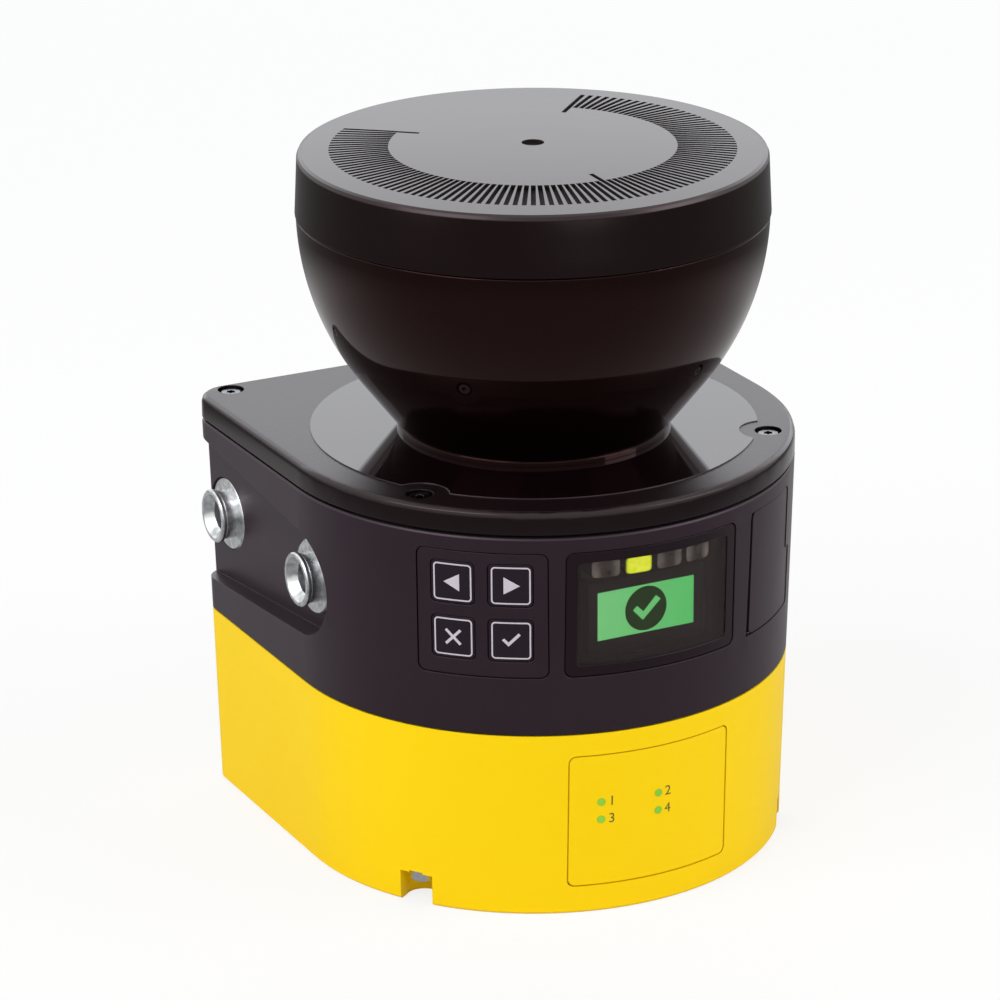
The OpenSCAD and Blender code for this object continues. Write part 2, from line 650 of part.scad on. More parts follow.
mat_front = key_back - key_travel - 0.2;
module key_mat() color(dark) intersection() {
    radial_block(keypad_angle, panel_z, keypad_opening_w - 0.1, keypad_opening_h - 0.1, 1, opening_radius, half_w);
    difference() {
        tube(mat_front - mat_thickness, panel_radius, panel_z - panel_height / 2, panel_z + panel_height / 2);
        intersection() {
            radial_block(keypad_angle, panel_z, keypad_opening_w - 1.1, keypad_opening_h - 1.1, 1, opening_radius, half_w);
            tube(mat_front, half_w, panel_z - panel_height, panel_z + panel_height);
        }
    }
}
board_thickness = 1.6;
mat_back = mat_front - mat_thickness;
keypad_board_w = keypad_opening_w - 0.6;
keypad_board_r = sqrt(pow(mat_back, 2) - pow(keypad_board_w / 2, 2));
module keypad_board() color(board_green) radial_block(keypad_angle, panel_z, keypad_board_w,
    keypad_opening_h - 0.6, 0.8, keypad_board_r - board_thickness, keypad_board_r);

// Display
window_w = display_width - 4.4;
window_h = display_h - 4.4;
window_thickness = 1.6;
window_sink = 0.35;
lcd_y = -(half_w - 6.2);
lcd_w = 27;
lcd_h = 15.5;
lcd_z = panel_z - 2.6;
display_board_w = display_width - 3.6;
display_board_h = display_opening_h + 3;
display_board_y = -sqrt(pow(half_w - upper_wall, 2) - pow(display_board_w / 2, 2)) + 0.05;
lcd_thickness = display_board_y - lcd_y;
module display_frame() color(black) difference() {
    face_plate(0, panel_z, display_width, display_h, 1.6, panel_radius, -0.15);
    radial_block(0, panel_z, window_w, window_h, 1, panel_radius - 3, half_w + 3);
}
module display_window() color([0.1, 0.1, 0.1]) difference() {
    face_plate(0, panel_z, window_w, window_h, 1, recess_radius - 1, -window_sink);
    face_plate(0, panel_z, window_w + 5, window_h + 5, 1, panel_radius - 9, -window_sink - window_thickness);
}
module lcd_module() color([0.3, 0.72, 0.36]) translate([-lcd_w / 2, lcd_y, lcd_z - lcd_h / 2])
    cube([lcd_w, lcd_thickness, lcd_h]);
lens_pitch = 7.2;
lens_w = 5.8;
lens_h = 3.8;
lens_z = panel_z + 9;
module indicator_lenses() color([0.8, 0.85, 0.1]) intersection() {
    for (i = [-1.5, -0.5, 0.5, 1.5]) translate([i * lens_pitch, display_board_y, lens_z]) rotate([90, 0, 0])
        linear_extrude(half_w + display_board_y) rounded(lens_w, lens_h, 0.5);
    face_cone(-window_sink - window_thickness - 0.3);
}
module display_board() color(board_green)
    translate([-display_board_w / 2, lcd_y + lcd_thickness, panel_z - display_board_h / 2])
        cube([display_board_w, board_thickness, display_board_h]);

// Service flap, its pin and the socket that it covers
module service_flap() color(black) difference() {
    union() {
        flap_outline(0, hinge_edge, flap_inner, -0.15);
        translate([hinge_x, hinge_y, panel_z - flap_height / 2 + 0.3])
            cylinder(h = flap_height - 0.6, r = barrel_radius);
    }
    translate([hinge_x, hinge_y, panel_z - flap_height]) cylinder(h = 2 * flap_height, r = pin_radius + fit);
}
module flap_pin() color(steel) translate([hinge_x, hinge_y, panel_z - flap_height / 2 - 2])
    cylinder(h = flap_height + 4, r = pin_radius);
module service_socket() color(zinc) difference() {
    radial_block(socket_angle, socket_z, socket_w, socket_h, 1, opening_radius + 1, recess_radius);
    radial_block(socket_angle, socket_z, socket_w - 1, socket_h - 1, 0.6, opening_radius + 2, half_w);
}

// Status panel with four light guides
light_places = [[-12.1, status_z + 4.1], [0.75, status_z + 4.1], [-12.1, status_z + 0.1], [0.75, status_z + 0.1]];
status_board_w = 32;
light_back_y = -sqrt(pow(half_w - lower_wall - draft / 2, 2) - pow(status_board_w / 2 + 0.1, 2));
module status_panel() color(yellow) difference() {
    face_plate(0, status_z, status_width, status_height, 1.4, status_radius + 0.1, -0.1);
    for (p = light_places) translate([p[0], 0, p[1]]) rotate([90, 0, 0]) cylinder(h = half_w, r = light_radius);
}
module status_lights() color([0.45, 0.75, 0.15]) intersection() {
    for (p = light_places) translate([p[0], light_back_y, p[1]]) rotate([90, 0, 0])
        cylinder(h = half_w, r = light_radius);
    face_cone(0);
}
module status_board() color(board_green) translate([-status_board_w / 2, light_back_y, status_z - 8])
    cube([status_board_w, board_thickness, 20]);

// Connection module in the bay at the rear
module_gap = 0.4;
module_w = bay_width - 2 * module_gap;
module_h = bay_height - 2 * module_gap;
module_y = bay_y + 0.8;
module_depth = 13;
module_face_y = module_y + module_depth;
module_plug_w = 32;
module_plug_h = 12;
module_plug_z = 20;
module_cavity = 8;
connector_z = 17;
socket_x = [0, connector_pitch];
module connection_module() color(black) difference() {
    union() {
        translate([0, module_face_y, module_gap + module_h / 2]) rotate([90, 0, 0])
            linear_extrude(module_depth) rounded(module_w, module_h, 2);
        translate([-module_plug_w / 2 + 0.4, bay_y - bay_wall, module_plug_z - module_plug_h / 2 + 0.4])
            cube([module_plug_w - 0.8, bay_wall + 2, module_plug_h - 0.8]);
    }
    for (x = [-connector_pitch, 0, connector_pitch]) translate([x, module_face_y + 1, connector_z])
        rotate([90, 0, 0]) cylinder(h = 9, r = connector_body);
    translate([-module_plug_w / 2 + 2, bay_y - bay_wall - 1, module_plug_z - module_plug_h / 2 + 2])
        cube([module_plug_w - 4, module_cavity, module_plug_h - 4]);
}
module module_seal() color(dark) translate([0, module_y, module_plug_z]) rotate([90, 0, 0]) difference() {
    linear_extrude(module_y - bay_y) rounded(module_plug_w + 6, module_plug_h + 6, 3);
    translate([0, 0, -1]) linear_extrude(5) rounded(module_plug_w, module_plug_h, 0.5);
}
connector_body = 7.4;
connector_flange = 8.6;
connector_length = 9;

// Carries its child to the rear face of the module, with Z pointing out of it
module at_connector(x) translate([x, module_face_y, connector_z]) rotate([-90, 0, 0]) children();

module power_connector() color(zinc) at_connector(-connector_pitch) {
    difference() {
        union() {
            translate([0, 0, -8]) cylinder(h = 8, r = connector_body);
            cylinder(h = 1.5, r = connector_flange);
            cylinder(h = connector_length, r = plug_thread_radius);
        }
        translate([0, 0, 1]) cylinder(h = connector_length, r = plug_thread_radius - 1.2);
    }
    for (i = [0:7]) rotate([0, 0, i * 360 / 8]) translate([2.8, 0, 0]) cylinder(h = 7, r = 0.4, $fn = 16);
}
module network_connectors() color(zinc) for (x = socket_x) at_connector(x) {
    difference() {
        union() {
            translate([0, 0, -8]) cylinder(h = 8, r = connector_body);
            cylinder(h = 1.5, r = connector_flange);
            cylinder(h = connector_length, r = connector_body);
        }
        translate([0, 0, 1]) cylinder(h = connector_length, r = 5.4);
    }
    difference() {
        cylinder(h = 7.5, r = 4.1);
        for (i = [0:3]) rotate([0, 0, 45 + i * 90]) translate([2.3, 0, 3]) cylinder(h = 5, r = 0.5, $fn = 16);
    }
}
module module_board() color(board_green) translate([-13, bay_y - 1, module_plug_z - 0.8])
    cube([26, module_cavity - bay_wall, board_thickness]);

// Chassis that carries the motor, hung from the cover plate on three posts
chassis_z = z_plate - 32.7;
chassis_plate = 3;
chassis_radius = half_w - 7 - upper_wall;
chassis_rear = rear_y - 8 - upper_wall;
chassis_post_radius = 3.2;
chassis_post_reach = clamp_r1 + chassis_post_radius + 0.2;
chassis_post_places = [for (a = [30, 150, 270]) [chassis_post_reach * cos(a), chassis_post_reach * sin(a)]];
bearing_outer = 7;
tube_outer = 8.6;
shaft_radius = 3;
tube_top = z_plate - 10.3;
module chassis() color(steel) difference() {
    union() {
        intersection() {
            translate([0, 0, chassis_z]) cylinder(h = chassis_plate, r = chassis_radius);
            translate([-half_w, -half_w, chassis_z - 1]) cube([2 * half_w, half_w + chassis_rear, chassis_plate + 2]);
        }
        translate([0, 0, chassis_z]) cylinder(h = tube_top - chassis_z, r = tube_outer);
        at(chassis_post_places) translate([0, 0, chassis_z]) cylinder(h = z_plate - chassis_z, r = chassis_post_radius);
    }
    translate([0, 0, chassis_z - 1]) cylinder(h = tube_top - chassis_z + 2, r = bearing_outer);
}
bearing_h = 4;
lower_bearing_z = chassis_z + 2;
upper_bearing_z = tube_top - bearing_h - 0.4;
module bearing(z) color(zinc) tube(shaft_radius + fit, bearing_outer, z, z + bearing_h);
module lower_bearing() bearing(lower_bearing_z);
module upper_bearing() bearing(upper_bearing_z);

stator_z0 = chassis_z + chassis_plate;
stator_z1 = tube_top - 1.4;
stator_radius = 22.6;
module motor_stator() color([0.72, 0.42, 0.2]) difference() {
    union() {
        tube(tube_outer, 12, stator_z0, stator_z1);
        for (i = [0:11]) rotate([0, 0, 30 * i]) translate([11, -2.2, stator_z0 + 3])
            cube([stator_radius - 14, 4.4, stator_z1 - stator_z0 - 3]);
        tube(stator_radius - 3.4, stator_radius, stator_z0 + 4.5, stator_z1 - 1.5);
    }
}

// Parts that turn: the bell of the motor, the shaft, the disc, the carrier and the mirror
bell_inner = stator_radius + 0.8;
bell_outer = bell_inner + 2.6;
bell_z = tube_top + 0.6;
bell_cap = 2;
hub_radius = 10;
disc_z = clamp_z + 4.2;
module motor_rotor() color(steel) {
    tube(bell_inner, bell_outer, stator_z0 + 3, bell_z + bell_cap);
    tube(shaft_radius, bell_inner + 1, bell_z, bell_z + bell_cap);
    tube(shaft_radius, hub_radius, bell_z + 1, disc_z);
}
shaft_top = z_top + 7;
module motor_shaft() color(zinc) translate([0, 0, chassis_z + 1]) cylinder(h = shaft_top - chassis_z - 1, r = shaft_radius);
disc_radius = 19.4;
disc_thickness = 0.6;
module encoder_disc() color([0.55, 0.57, 0.6]) difference() {
    tube(shaft_radius, disc_radius, disc_z, disc_z + disc_thickness);
    for (i = [0:23]) rotate([0, 0, 15 * i]) translate([16.4, -0.7, disc_z - 1]) cube([2, 1.4, 3]);
}
jaw_gap = 0.5;
module encoder_sensor() color(dark) rotate([0, 0, 180]) difference() {
    translate([14.6, -4.5, foot_z]) cube([foot_inner - 0.6 - 14.6, 9, 6]);
    translate([13, -6, disc_z - jaw_gap]) cube([disc_radius + 0.8 - 13, 12, disc_thickness + 2 * jaw_gap]);
    translate([13, -6, foot_z - 1]) cube([clamp_r0 + 0.3 - 13, 12, 1.35]);
}

mirror_centre = z_top + 17;
carrier_radius = 17;
mirror_thickness = 2.4;
carrier_z = disc_z + disc_thickness;
module carrier_body() {
    translate([0, 0, carrier_z]) cylinder(h = 4, r = 12);
    translate([0, 0, carrier_z + 4 - eps]) cylinder(h = 4, r1 = 12, r2 = carrier_radius);
    translate([0, 0, carrier_z + 8 - 2 * eps]) cylinder(h = 50, r = carrier_radius);
}
module mirror_carrier() color(dark) difference() {
    carrier_body();
    translate([0, 0, mirror_centre]) rotate([45, 0, 0]) translate([-50, -50, -mirror_thickness]) cube(100);
    translate([0, 0, carrier_z - 1]) cylinder(h = shaft_top - carrier_z + 1, r = shaft_radius);
}
module scan_mirror() color([0.85, 0.88, 0.9]) translate([0, 0, mirror_centre]) rotate([45, 0, 0])
    translate([0, 0, -mirror_thickness]) cylinder(h = mirror_thickness, r = 16);

// Duct at the rear of the bowl, in the sector that is not scanned
carrier_plate_z = z_bowl - 5.2;
duct_w = 10;
duct_t = 3;
duct_turn_z = arc_z(bowl_slope, bowl_wall);
module cable_duct() color(dark) translate([-duct_w / 2, 0, 0]) rotate([90, 0, 90]) linear_extrude(duct_w) polygon([
    [foot_inner - duct_t - 0.8, foot_z], [foot_inner - 0.8, foot_z], [foot_inner - 0.8, z_top + 2],
    [arc_r(bowl_slope, bowl_wall) - 1, duct_turn_z], [arc_r(bowl_slope / 2, bowl_wall) - 1, arc_z(bowl_slope / 2, bowl_wall)],
    [arc_r(bowl_slope / 2, bowl_wall) - 1, carrier_plate_z],
    [arc_r(bowl_slope / 2, bowl_wall) - 1 - duct_t, carrier_plate_z],
    [arc_r(bowl_slope / 2, bowl_wall) - 1 - duct_t, arc_z(bowl_slope / 2, bowl_wall)],
    [arc_r(bowl_slope, bowl_wall) - 1 - duct_t, duct_turn_z],
    [foot_inner - duct_t - 0.8, z_top + 2]]);

// Fixed optics under the top cap
carrier_plate = 3;
board_top_z = carrier_plate_z + carrier_plate + 8;
lens_radius = 22;
lens_edge_z = carrier_plate_z - 9;
module optics_carrier() color(dark) {
    tube(lens_radius, bowl_radius - 6.6, carrier_plate_z, carrier_plate_z + carrier_plate);
    tube(lens_radius, lens_radius + 2.4, lens_edge_z, carrier_plate_z + 1);
    tube(lens_radius - 1.6, lens_radius + 1, lens_edge_z, lens_edge_z + 1.4);
    at(post_places) translate([0, 0, carrier_plate_z]) cylinder(h = board_top_z - board_thickness - carrier_plate_z, r = post_radius);
}
laser_radius = 4.4;
lens_base_z = lens_edge_z + 1.4;
module receiver_lens() color([0.8, 0.85, 0.9]) rotate_extrude() polygon(concat(
    [[laser_radius, lens_base_z], [lens_radius, lens_base_z]],
    [for (i = [0:6]) [lens_radius - (lens_radius - laser_radius) * i / 6,
        lens_base_z + 2 + 4 * (1 - pow(1 - i / 6, 2))]]));
module laser_module() color(zinc) {
    translate([0, 0, lens_base_z - 3]) cylinder(h = 12, r = laser_radius);
    translate([0, 0, lens_base_z + 9 - eps]) cylinder(h = 2, r = 3);
}
module receiver_board() color(board_green) {
    difference() {
        translate([0, 0, board_top_z - board_thickness]) cylinder(h = board_thickness, r = post_reach + 5);
        at(post_places) translate([0, 0, board_top_z - 3]) cylinder(h = 5, r = 1.5);
    }
    translate([0, 0, board_top_z - board_thickness - 2]) cylinder(h = 2.5, r = 4);
}

// Boards in the lower housing
board_w = 2 * (half_w - 19);
board_y0 = 26 - half_w;
board_y1 = bay_y - bay_wall - 5.1;
spacer_x = board_w / 2 - 4;
spacer_y = [board_y0 + 6, board_y1 - 6];
spacer_places = [for (x = [-spacer_x, spacer_x], y = spacer_y) [x, y]];
power_board_z = 14;
main_board_z = 34;
spacer_radius = 3;
spacer_pin = 1.4;
module board(z) difference() {
    translate([-board_w / 2, board_y0, z]) cube([board_w, board_y1 - board_y0, board_thickness]);
    at(spacer_places) translate([0, 0, z - 1]) cylinder(h = 4, r = spacer_pin);
}
module power_board() color(board_green) {
    board(power_board_z);
    for (x = [-18, 0, 18]) translate([x, -6, power_board_z + board_thickness - eps]) cylinder(h = 11, r = 5.5);
    translate([-26, board_y1 - 12, power_board_z + board_thickness - eps]) cube([20, 9, 7]);
}
module main_board() color(board_green) {
    board(main_board_z);
    translate([-9, -9, main_board_z + board_thickness - eps]) cube([18, 18, 2.4]);
    translate([14, -14, main_board_z + board_thickness - eps]) cube([9, 12, 1.6]);
}
module board_spacers() color(zinc) at(spacer_places) {
    translate([0, 0, floor_thickness]) cylinder(h = power_board_z - floor_thickness, r = spacer_radius);
    translate([0, 0, power_board_z - 1]) cylinder(h = board_thickness + 2, r = spacer_pin);
    translate([0, 0, power_board_z + board_thickness])
        cylinder(h = main_board_z - power_board_z - board_thickness, r = spacer_radius);
    translate([0, 0, main_board_z - 1]) cylinder(h = board_thickness + 1, r = spacer_pin);
}

lower_housing();
upper_housing();
housing_seal();
cover_plate();
cover_seal();
cover_screws();
base_screws();
optics_cover();
neck_seal();
clamp_ring();
top_cap();
cap_seal();
bushings_left();
bushings_right();
rear_inserts();
keypad_panel();
key_left();
key_right();
key_cancel();
key_confirm();
key_mat();
keypad_board();
display_frame();
display_window();
lcd_module();
indicator_lenses();
display_board();
service_flap();
flap_pin();
service_socket();
status_panel();
status_lights();
status_board();
connection_module();
module_seal();
power_connector();
network_connectors();
module_board();
chassis();
motor_stator();
motor_rotor();
motor_shaft();
lower_bearing();
upper_bearing();
encoder_disc();
encoder_sensor();
mirror_carrier();
scan_mirror();
cable_duct();
optics_carrier();
receiver_lens();
laser_module();
receiver_board();
main_board();
power_board();
board_spacers();
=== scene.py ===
# %% [markdown]
# # A safety laser scanner
# A safety laser scanner guards a machine: a mirror turns inside the black bowl and sends
# out a beam, and the unit stops the machine when somebody comes near. The solid pieces
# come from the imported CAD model. This lesson gives them their finishes, makes the
# polished bowl, the prints and the lit display as fine surfaces, and sets up a studio
# round them. Everything is in metres, with +Z up.

# %% Load the frame
import json
import math

import bpy
import numpy as np
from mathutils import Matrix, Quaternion, Vector


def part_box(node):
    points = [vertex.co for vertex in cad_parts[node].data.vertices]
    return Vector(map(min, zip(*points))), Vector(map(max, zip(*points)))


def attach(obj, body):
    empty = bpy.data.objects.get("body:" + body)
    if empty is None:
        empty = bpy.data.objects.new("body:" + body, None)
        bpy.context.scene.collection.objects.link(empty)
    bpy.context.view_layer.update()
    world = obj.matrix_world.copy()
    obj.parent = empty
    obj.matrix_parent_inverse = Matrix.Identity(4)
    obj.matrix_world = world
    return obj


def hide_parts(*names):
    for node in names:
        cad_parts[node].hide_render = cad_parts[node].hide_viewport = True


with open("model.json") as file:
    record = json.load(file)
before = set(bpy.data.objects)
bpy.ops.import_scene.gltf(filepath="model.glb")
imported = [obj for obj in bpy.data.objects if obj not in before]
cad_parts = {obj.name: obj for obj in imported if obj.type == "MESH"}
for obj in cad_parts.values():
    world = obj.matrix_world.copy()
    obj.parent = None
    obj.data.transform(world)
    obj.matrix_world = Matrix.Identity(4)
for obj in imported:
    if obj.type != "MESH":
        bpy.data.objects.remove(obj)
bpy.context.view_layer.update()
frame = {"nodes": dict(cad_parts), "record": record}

# %% [markdown]
# ## The sizes that the finishes need
# A box of a CAD node gives most places. What a box can't give, such as the slope of the
# front wall, is named here once, in millimetres as on a drawing, and turned into metres.

# %% Sizes
MM = 0.001
half_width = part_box("cover_plate")[1].x
rim_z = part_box("upper_housing")[1].z
plate_top_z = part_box("cover_plate")[1].z
wall_draft = 2.2 * MM
keys = {
    "key_left": "arrow_left", "key_right": "arrow_right",
    "key_cancel": "cross", "key_confirm": "tick",
}


def face_radius(z):
    """Radius of the drafted front wall at height z: the half width less the draft,
    which falls in a straight line from its full amount at the floor to none at the rim."""
    return half_width - wall_draft * (1 - np.minimum(z, rim_z) / rim_z)


print("front wall radius at the floor and the rim:", face_radius(0.0), face_radius(rim_z))

# %% [markdown]
# ## The camera
# A product picture is taken from far away with a long lens, so that the sides hardly
# converge. The camera looks from the front left and a little from above. Its place is a
# direction and a distance from a point on the axis, which is easier to change than x, y
# and z. A small roll and a small shift of the lens fit the picture's frame.

# %% Camera
look_at = Vector((0, 0, 0.075))
azimuth, elevation, distance = math.radians(-27.607), math.radians(20.173), 0.9824
towards_camera = Vector((
    math.sin(azimuth) * math.cos(elevation), -math.cos(azimuth) * math.cos(elevation),
    math.sin(elevation)))
lens = bpy.data.cameras.new("studio_camera")
lens.sensor_width, lens.lens = 36.0, 163.88
lens.shift_x, lens.shift_y = -0.0341, -0.0081
lens.clip_start, lens.clip_end = 0.05, 20.0
camera = bpy.data.objects.new("studio_camera", lens)
bpy.context.scene.collection.objects.link(camera)
camera.location = look_at + towards_camera * distance
camera.rotation_mode = "QUATERNION"
camera.rotation_quaternion = (-towards_camera).to_track_quat("-Z", "Y") @ Quaternion(
    (0, 0, 1), math.radians(-0.207))
bpy.context.scene.camera = camera
print("camera at", [round(x, 4) for x in camera.location])

# %% [markdown]
# ## Surfaces from arrays
# Each new piece is worked out with numpy: whole arrays of points, joined to faces by
# index arithmetic. A grid of rows and columns covers most shapes. Where a row or a
# column closes on itself, the index simply wraps round.

# %% Mesh helpers


def make_piece(name, points, faces, sharp_degrees=30.0):
    """Object from an (n, 3) array of points and a list or array of faces. Shading is
    smooth, except across edges where the faces turn by more than sharp_degrees."""
    mesh = bpy.data.meshes.new(name)
    if isinstance(faces, np.ndarray):
        faces = faces.tolist()
    mesh.from_pydata(np.asarray(points, float).tolist(), [], faces)
    mesh.validate()
    mesh.shade_smooth()
    mesh.set_sharp_from_angle(angle=math.radians(sharp_degrees))
    piece = bpy.data.objects.new(name, mesh)
    bpy.context.scene.collection.objects.link(piece)
    return piece


def grid_faces(rows, columns, close_rows=False, close_columns=False):
    """Quads of a grid, row by row. Point (i, j) has index i * columns + j, and a closed
    direction joins its last line to its first."""
    i = np.arange(rows if close_rows else rows - 1)[:, None]
    j = np.arange(columns if close_columns else columns - 1)[None, :]
    i2, j2 = (i + 1) % rows, (j + 1) % columns
    return np.stack([i * columns + j, i * columns + j2, i2 * columns + j2, i2 * columns + j],
                    -1).reshape(-1, 4)


def revolve(profile, segments):
    """Turns a closed profile of (radius, height) rows about the Z axis: the point at
    turn t is (radius cos t, radius sin t, height). A clockwise profile, seen with the
    axis at the left, has its faces outwards."""
    profile = np.asarray(profile, float)
    turn = np.linspace(0, 2 * np.pi, segments, endpoint=False)
    points = np.stack([
        profile[:, :1] * np.cos(turn), profile[:, :1] * np.sin(turn),
        np.repeat(profile[:, 1:], segments, 1)], -1)
    return points.reshape(-1, 3), grid_faces(len(profile), segments, True, True)


def dress(piece, material, body, stands_for=()):
    """Gives the piece its material, the body it moves with and the solids it shows."""
    piece.data.materials.clear()
    piece.data.materials.append(material)
    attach(piece, body)
    if stands_for:
        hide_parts(*stands_for)
    print(piece.name, "faces:", len(piece.data.polygons), "rides on", body)
    return piece


# %% [markdown]
# ## Building blocks for materials
# A material is a small graph of nodes. Two effects come back in nearly every finish
# here: the fine grain of a spark-eroded mould with its slow, cloudy patches, and the
# mottled crystals of zinc plating. Each is a node group, built once, whose inputs set
# its scale, so that one recipe serves many materials.

# %% Node helpers


def add(tree, kind, inputs=None, **settings):
    """Adds a node to a tree, sets its properties, and fills or links its inputs."""
    new = tree.nodes.new(kind)
    for name, value in settings.items():
        setattr(new, name, value)
    for key, value in (inputs or {}).items():
        if isinstance(value, bpy.types.NodeSocket):
            tree.links.new(value, new.inputs[key])
        else:
            new.inputs[key].default_value = value
    return new


def blend_colours(tree, share, first, second):
    """Mixes two colours by a share from 0 to 1 and returns the colour socket."""
    mix = add(tree, "ShaderNodeMix", {0: share, 6: first, 7: second}, data_type="RGBA")
    return mix.outputs[2]


def spread(tree, value, low, high):
    """Maps a value from 0..1 to low..high and returns the socket."""
    return add(tree, "ShaderNodeMapRange", {"Value": value, "To Min": low, "To Max": high}
               ).outputs["Result"]


def node_math(tree, operation, first, second, third=0.0):
    """One Math node of two or three values, and its result."""
    return add(tree, "ShaderNodeMath", {0: first, 1: second, 2: third},
               operation=operation).outputs[0]


def new_group(name, inputs, outputs):
    """Shader node group with named float or vector sockets, and its two end nodes."""
    tree = bpy.data.node_groups.new(name, "ShaderNodeTree")
    kinds = {"float": "NodeSocketFloat", "vector": "NodeSocketVector"}
    for socket, kind in inputs:
        tree.interface.new_socket(socket, in_out="INPUT", socket_type=kinds[kind])
    for socket, kind in outputs:
        tree.interface.new_socket(socket, in_out="OUTPUT", socket_type=kinds[kind])
    return tree, add(tree, "NodeGroupInput"), add(tree, "NodeGroupOutput")


# %% Grain and spangle groups
mould_grain, given, made = new_group(
    "mould_grain", [("Position", "vector"), ("Grains", "float"), ("Patches", "float")],
    [("Height", "float"), ("Cloud", "float")])
fine = add(mould_grain, "ShaderNodeTexNoise", {
    "Vector": given.outputs["Position"], "Scale": given.outputs["Grains"], "Detail": 3.0,
    "Roughness": 0.55})
slow = add(mould_grain, "ShaderNodeTexNoise", {
    "Vector": given.outputs["Position"], "Scale": given.outputs["Patches"], "Detail": 4.0,
    "Roughness": 0.6})
mould_grain.links.new(fine.outputs[0], made.inputs["Height"])
mould_grain.links.new(slow.outputs[0], made.inputs["Cloud"])

zinc_spangle, given, made = new_group(
    "zinc_spangle", [("Position", "vector"), ("Cells", "float")],
    [("Tone", "float"), ("Height", "float")])
cells = add(zinc_spangle, "ShaderNodeTexVoronoi", {
    "Vector": given.outputs["Position"], "Scale": given.outputs["Cells"]}, feature="F1")
cloud = add(zinc_spangle, "ShaderNodeTexNoise", {
    "Vector": given.outputs["Position"], "Scale": given.outputs["Cells"], "Detail": 5.0})
tone = node_math(zinc_spangle, "MULTIPLY", cells.outputs["Distance"], cloud.outputs[0])
zinc_spangle.links.new(tone, made.inputs["Tone"])
zinc_spangle.links.new(cloud.outputs[0], made.inputs["Height"])
print("node groups:", [g.name for g in bpy.data.node_groups])

# %% [markdown]
# ## Plastic
# Nearly all of the unit is moulded plastic. Its colour goes right through, so the base
# colour hardly varies; what the eye reads as plastic is the reflection: about four per
# cent of the light at a steep angle, far more at a shallow one, blurred by the grain of
# the mould. So each plastic is a Principled shader with a low base colour, a roughness
# that drifts a little with the clouds, and a bump from the grain. A Bevel node rounds
# the edges in the shading by a fraction of a millimetre, as every mould does.

# %% Plastics


def moulded_plastic(name, colour, second, roughness, grain, height, edge=0.25, shine=0.5,
                    tint=(1, 1, 1)):
    """Plastic with two close tones, a (low, high) roughness, grains of `grain` mm that
    stand `height` mm high, edges rounded by `edge` mm, and a specular level `shine` and
    `tint` for what it mirrors straight on."""
    material = bpy.data.materials.new(name)
    material.use_nodes = True
    tree = material.node_tree
    shader = tree.nodes["Principled BSDF"]
    place = add(tree, "ShaderNodeTexCoord")
    grained = add(tree, "ShaderNodeGroup", node_tree=mould_grain)
    tree.links.new(place.outputs["Object"], grained.inputs["Position"])
    grained.inputs["Grains"].default_value = 1 / (grain * MM)
    grained.inputs["Patches"].default_value = 60.0
    colours = blend_colours(tree, grained.outputs["Cloud"], (*colour, 1), (*second, 1))
    tree.links.new(colours, shader.inputs["Base Color"])
    tree.links.new(spread(tree, grained.outputs["Cloud"], *roughness), shader.inputs["Roughness"])
    rounded = add(tree, "ShaderNodeBevel", {"Radius": edge * MM}, samples=4)
    bump = add(tree, "ShaderNodeBump", {
        "Height": grained.outputs["Height"], "Distance": height * MM, "Strength": 1.0,
        "Normal": rounded.outputs[0]})
    tree.links.new(bump.outputs[0], shader.inputs["Normal"])
    shader.inputs["Specular IOR Level"].default_value = shine
    shader.inputs["Specular Tint"].default_value = (*tint, 1)
    return material


housing_tint, bowl_tint, cap_tint = (1.0, 0.76, 0.92), (1.0, 0.5, 0.5), (1.0, 0.8, 0.82)
yellow_plastic = moulded_plastic(
    "yellow_plastic", (0.98, 0.665, 0.0), (0.96, 0.65, 0.0), (0.32, 0.42), 0.5, 0.003, shine=0.1)
black_plastic = moulded_plastic(
    "black_plastic", (0.013, 0.007, 0.011), (0.016, 0.009, 0.014), (0.32, 0.42), 0.45, 0.003,
    tint=housing_tint)
key_plastic = moulded_plastic(
    "key_plastic", (0.010, 0.006, 0.010), (0.012, 0.007, 0.012), (0.26, 0.34), 0.4, 0.001,
    edge=0.15, tint=housing_tint)
frame_plastic = moulded_plastic(
    "frame_plastic", (0.005, 0.002, 0.003), (0.007, 0.003, 0.004), (0.14, 0.2), 0.5, 0.0005,
    edge=0.2, tint=housing_tint)
bowl_plastic = moulded_plastic(
    "bowl_plastic", (0.0025, 0.0005, 0.0005), (0.0035, 0.001, 0.001), (0.04, 0.07), 2.0, 0.0004,
    tint=bowl_tint)
cap_plastic = moulded_plastic(
    "cap_plastic", (0.004, 0.001, 0.001), (0.005, 0.002, 0.002), (0.26, 0.34), 0.4, 0.006,
    edge=0.15, tint=cap_tint)
inner_plastic = moulded_plastic(
    "inner_plastic", (0.02, 0.02, 0.021), (0.03, 0.03, 0.031), (0.45, 0.6), 0.5, 0.006)
seal_rubber = moulded_plastic(
    "seal_rubber", (0.001, 0.001, 0.001), (0.002, 0.002, 0.002), (0.85, 0.95), 0.3, 0.01,
    edge=0.1, shine=0.2)
circuit_board = moulded_plastic(
    "circuit_board", (0.01, 0.09, 0.04), (0.015, 0.13, 0.06), (0.3, 0.45), 1.5, 0.01, edge=0.1)
windings = moulded_plastic(
    "windings", (0.32, 0.12, 0.04), (0.45, 0.2, 0.07), (0.3, 0.45), 0.6, 0.05, edge=0.1)
print("plastics:", len(bpy.data.materials))

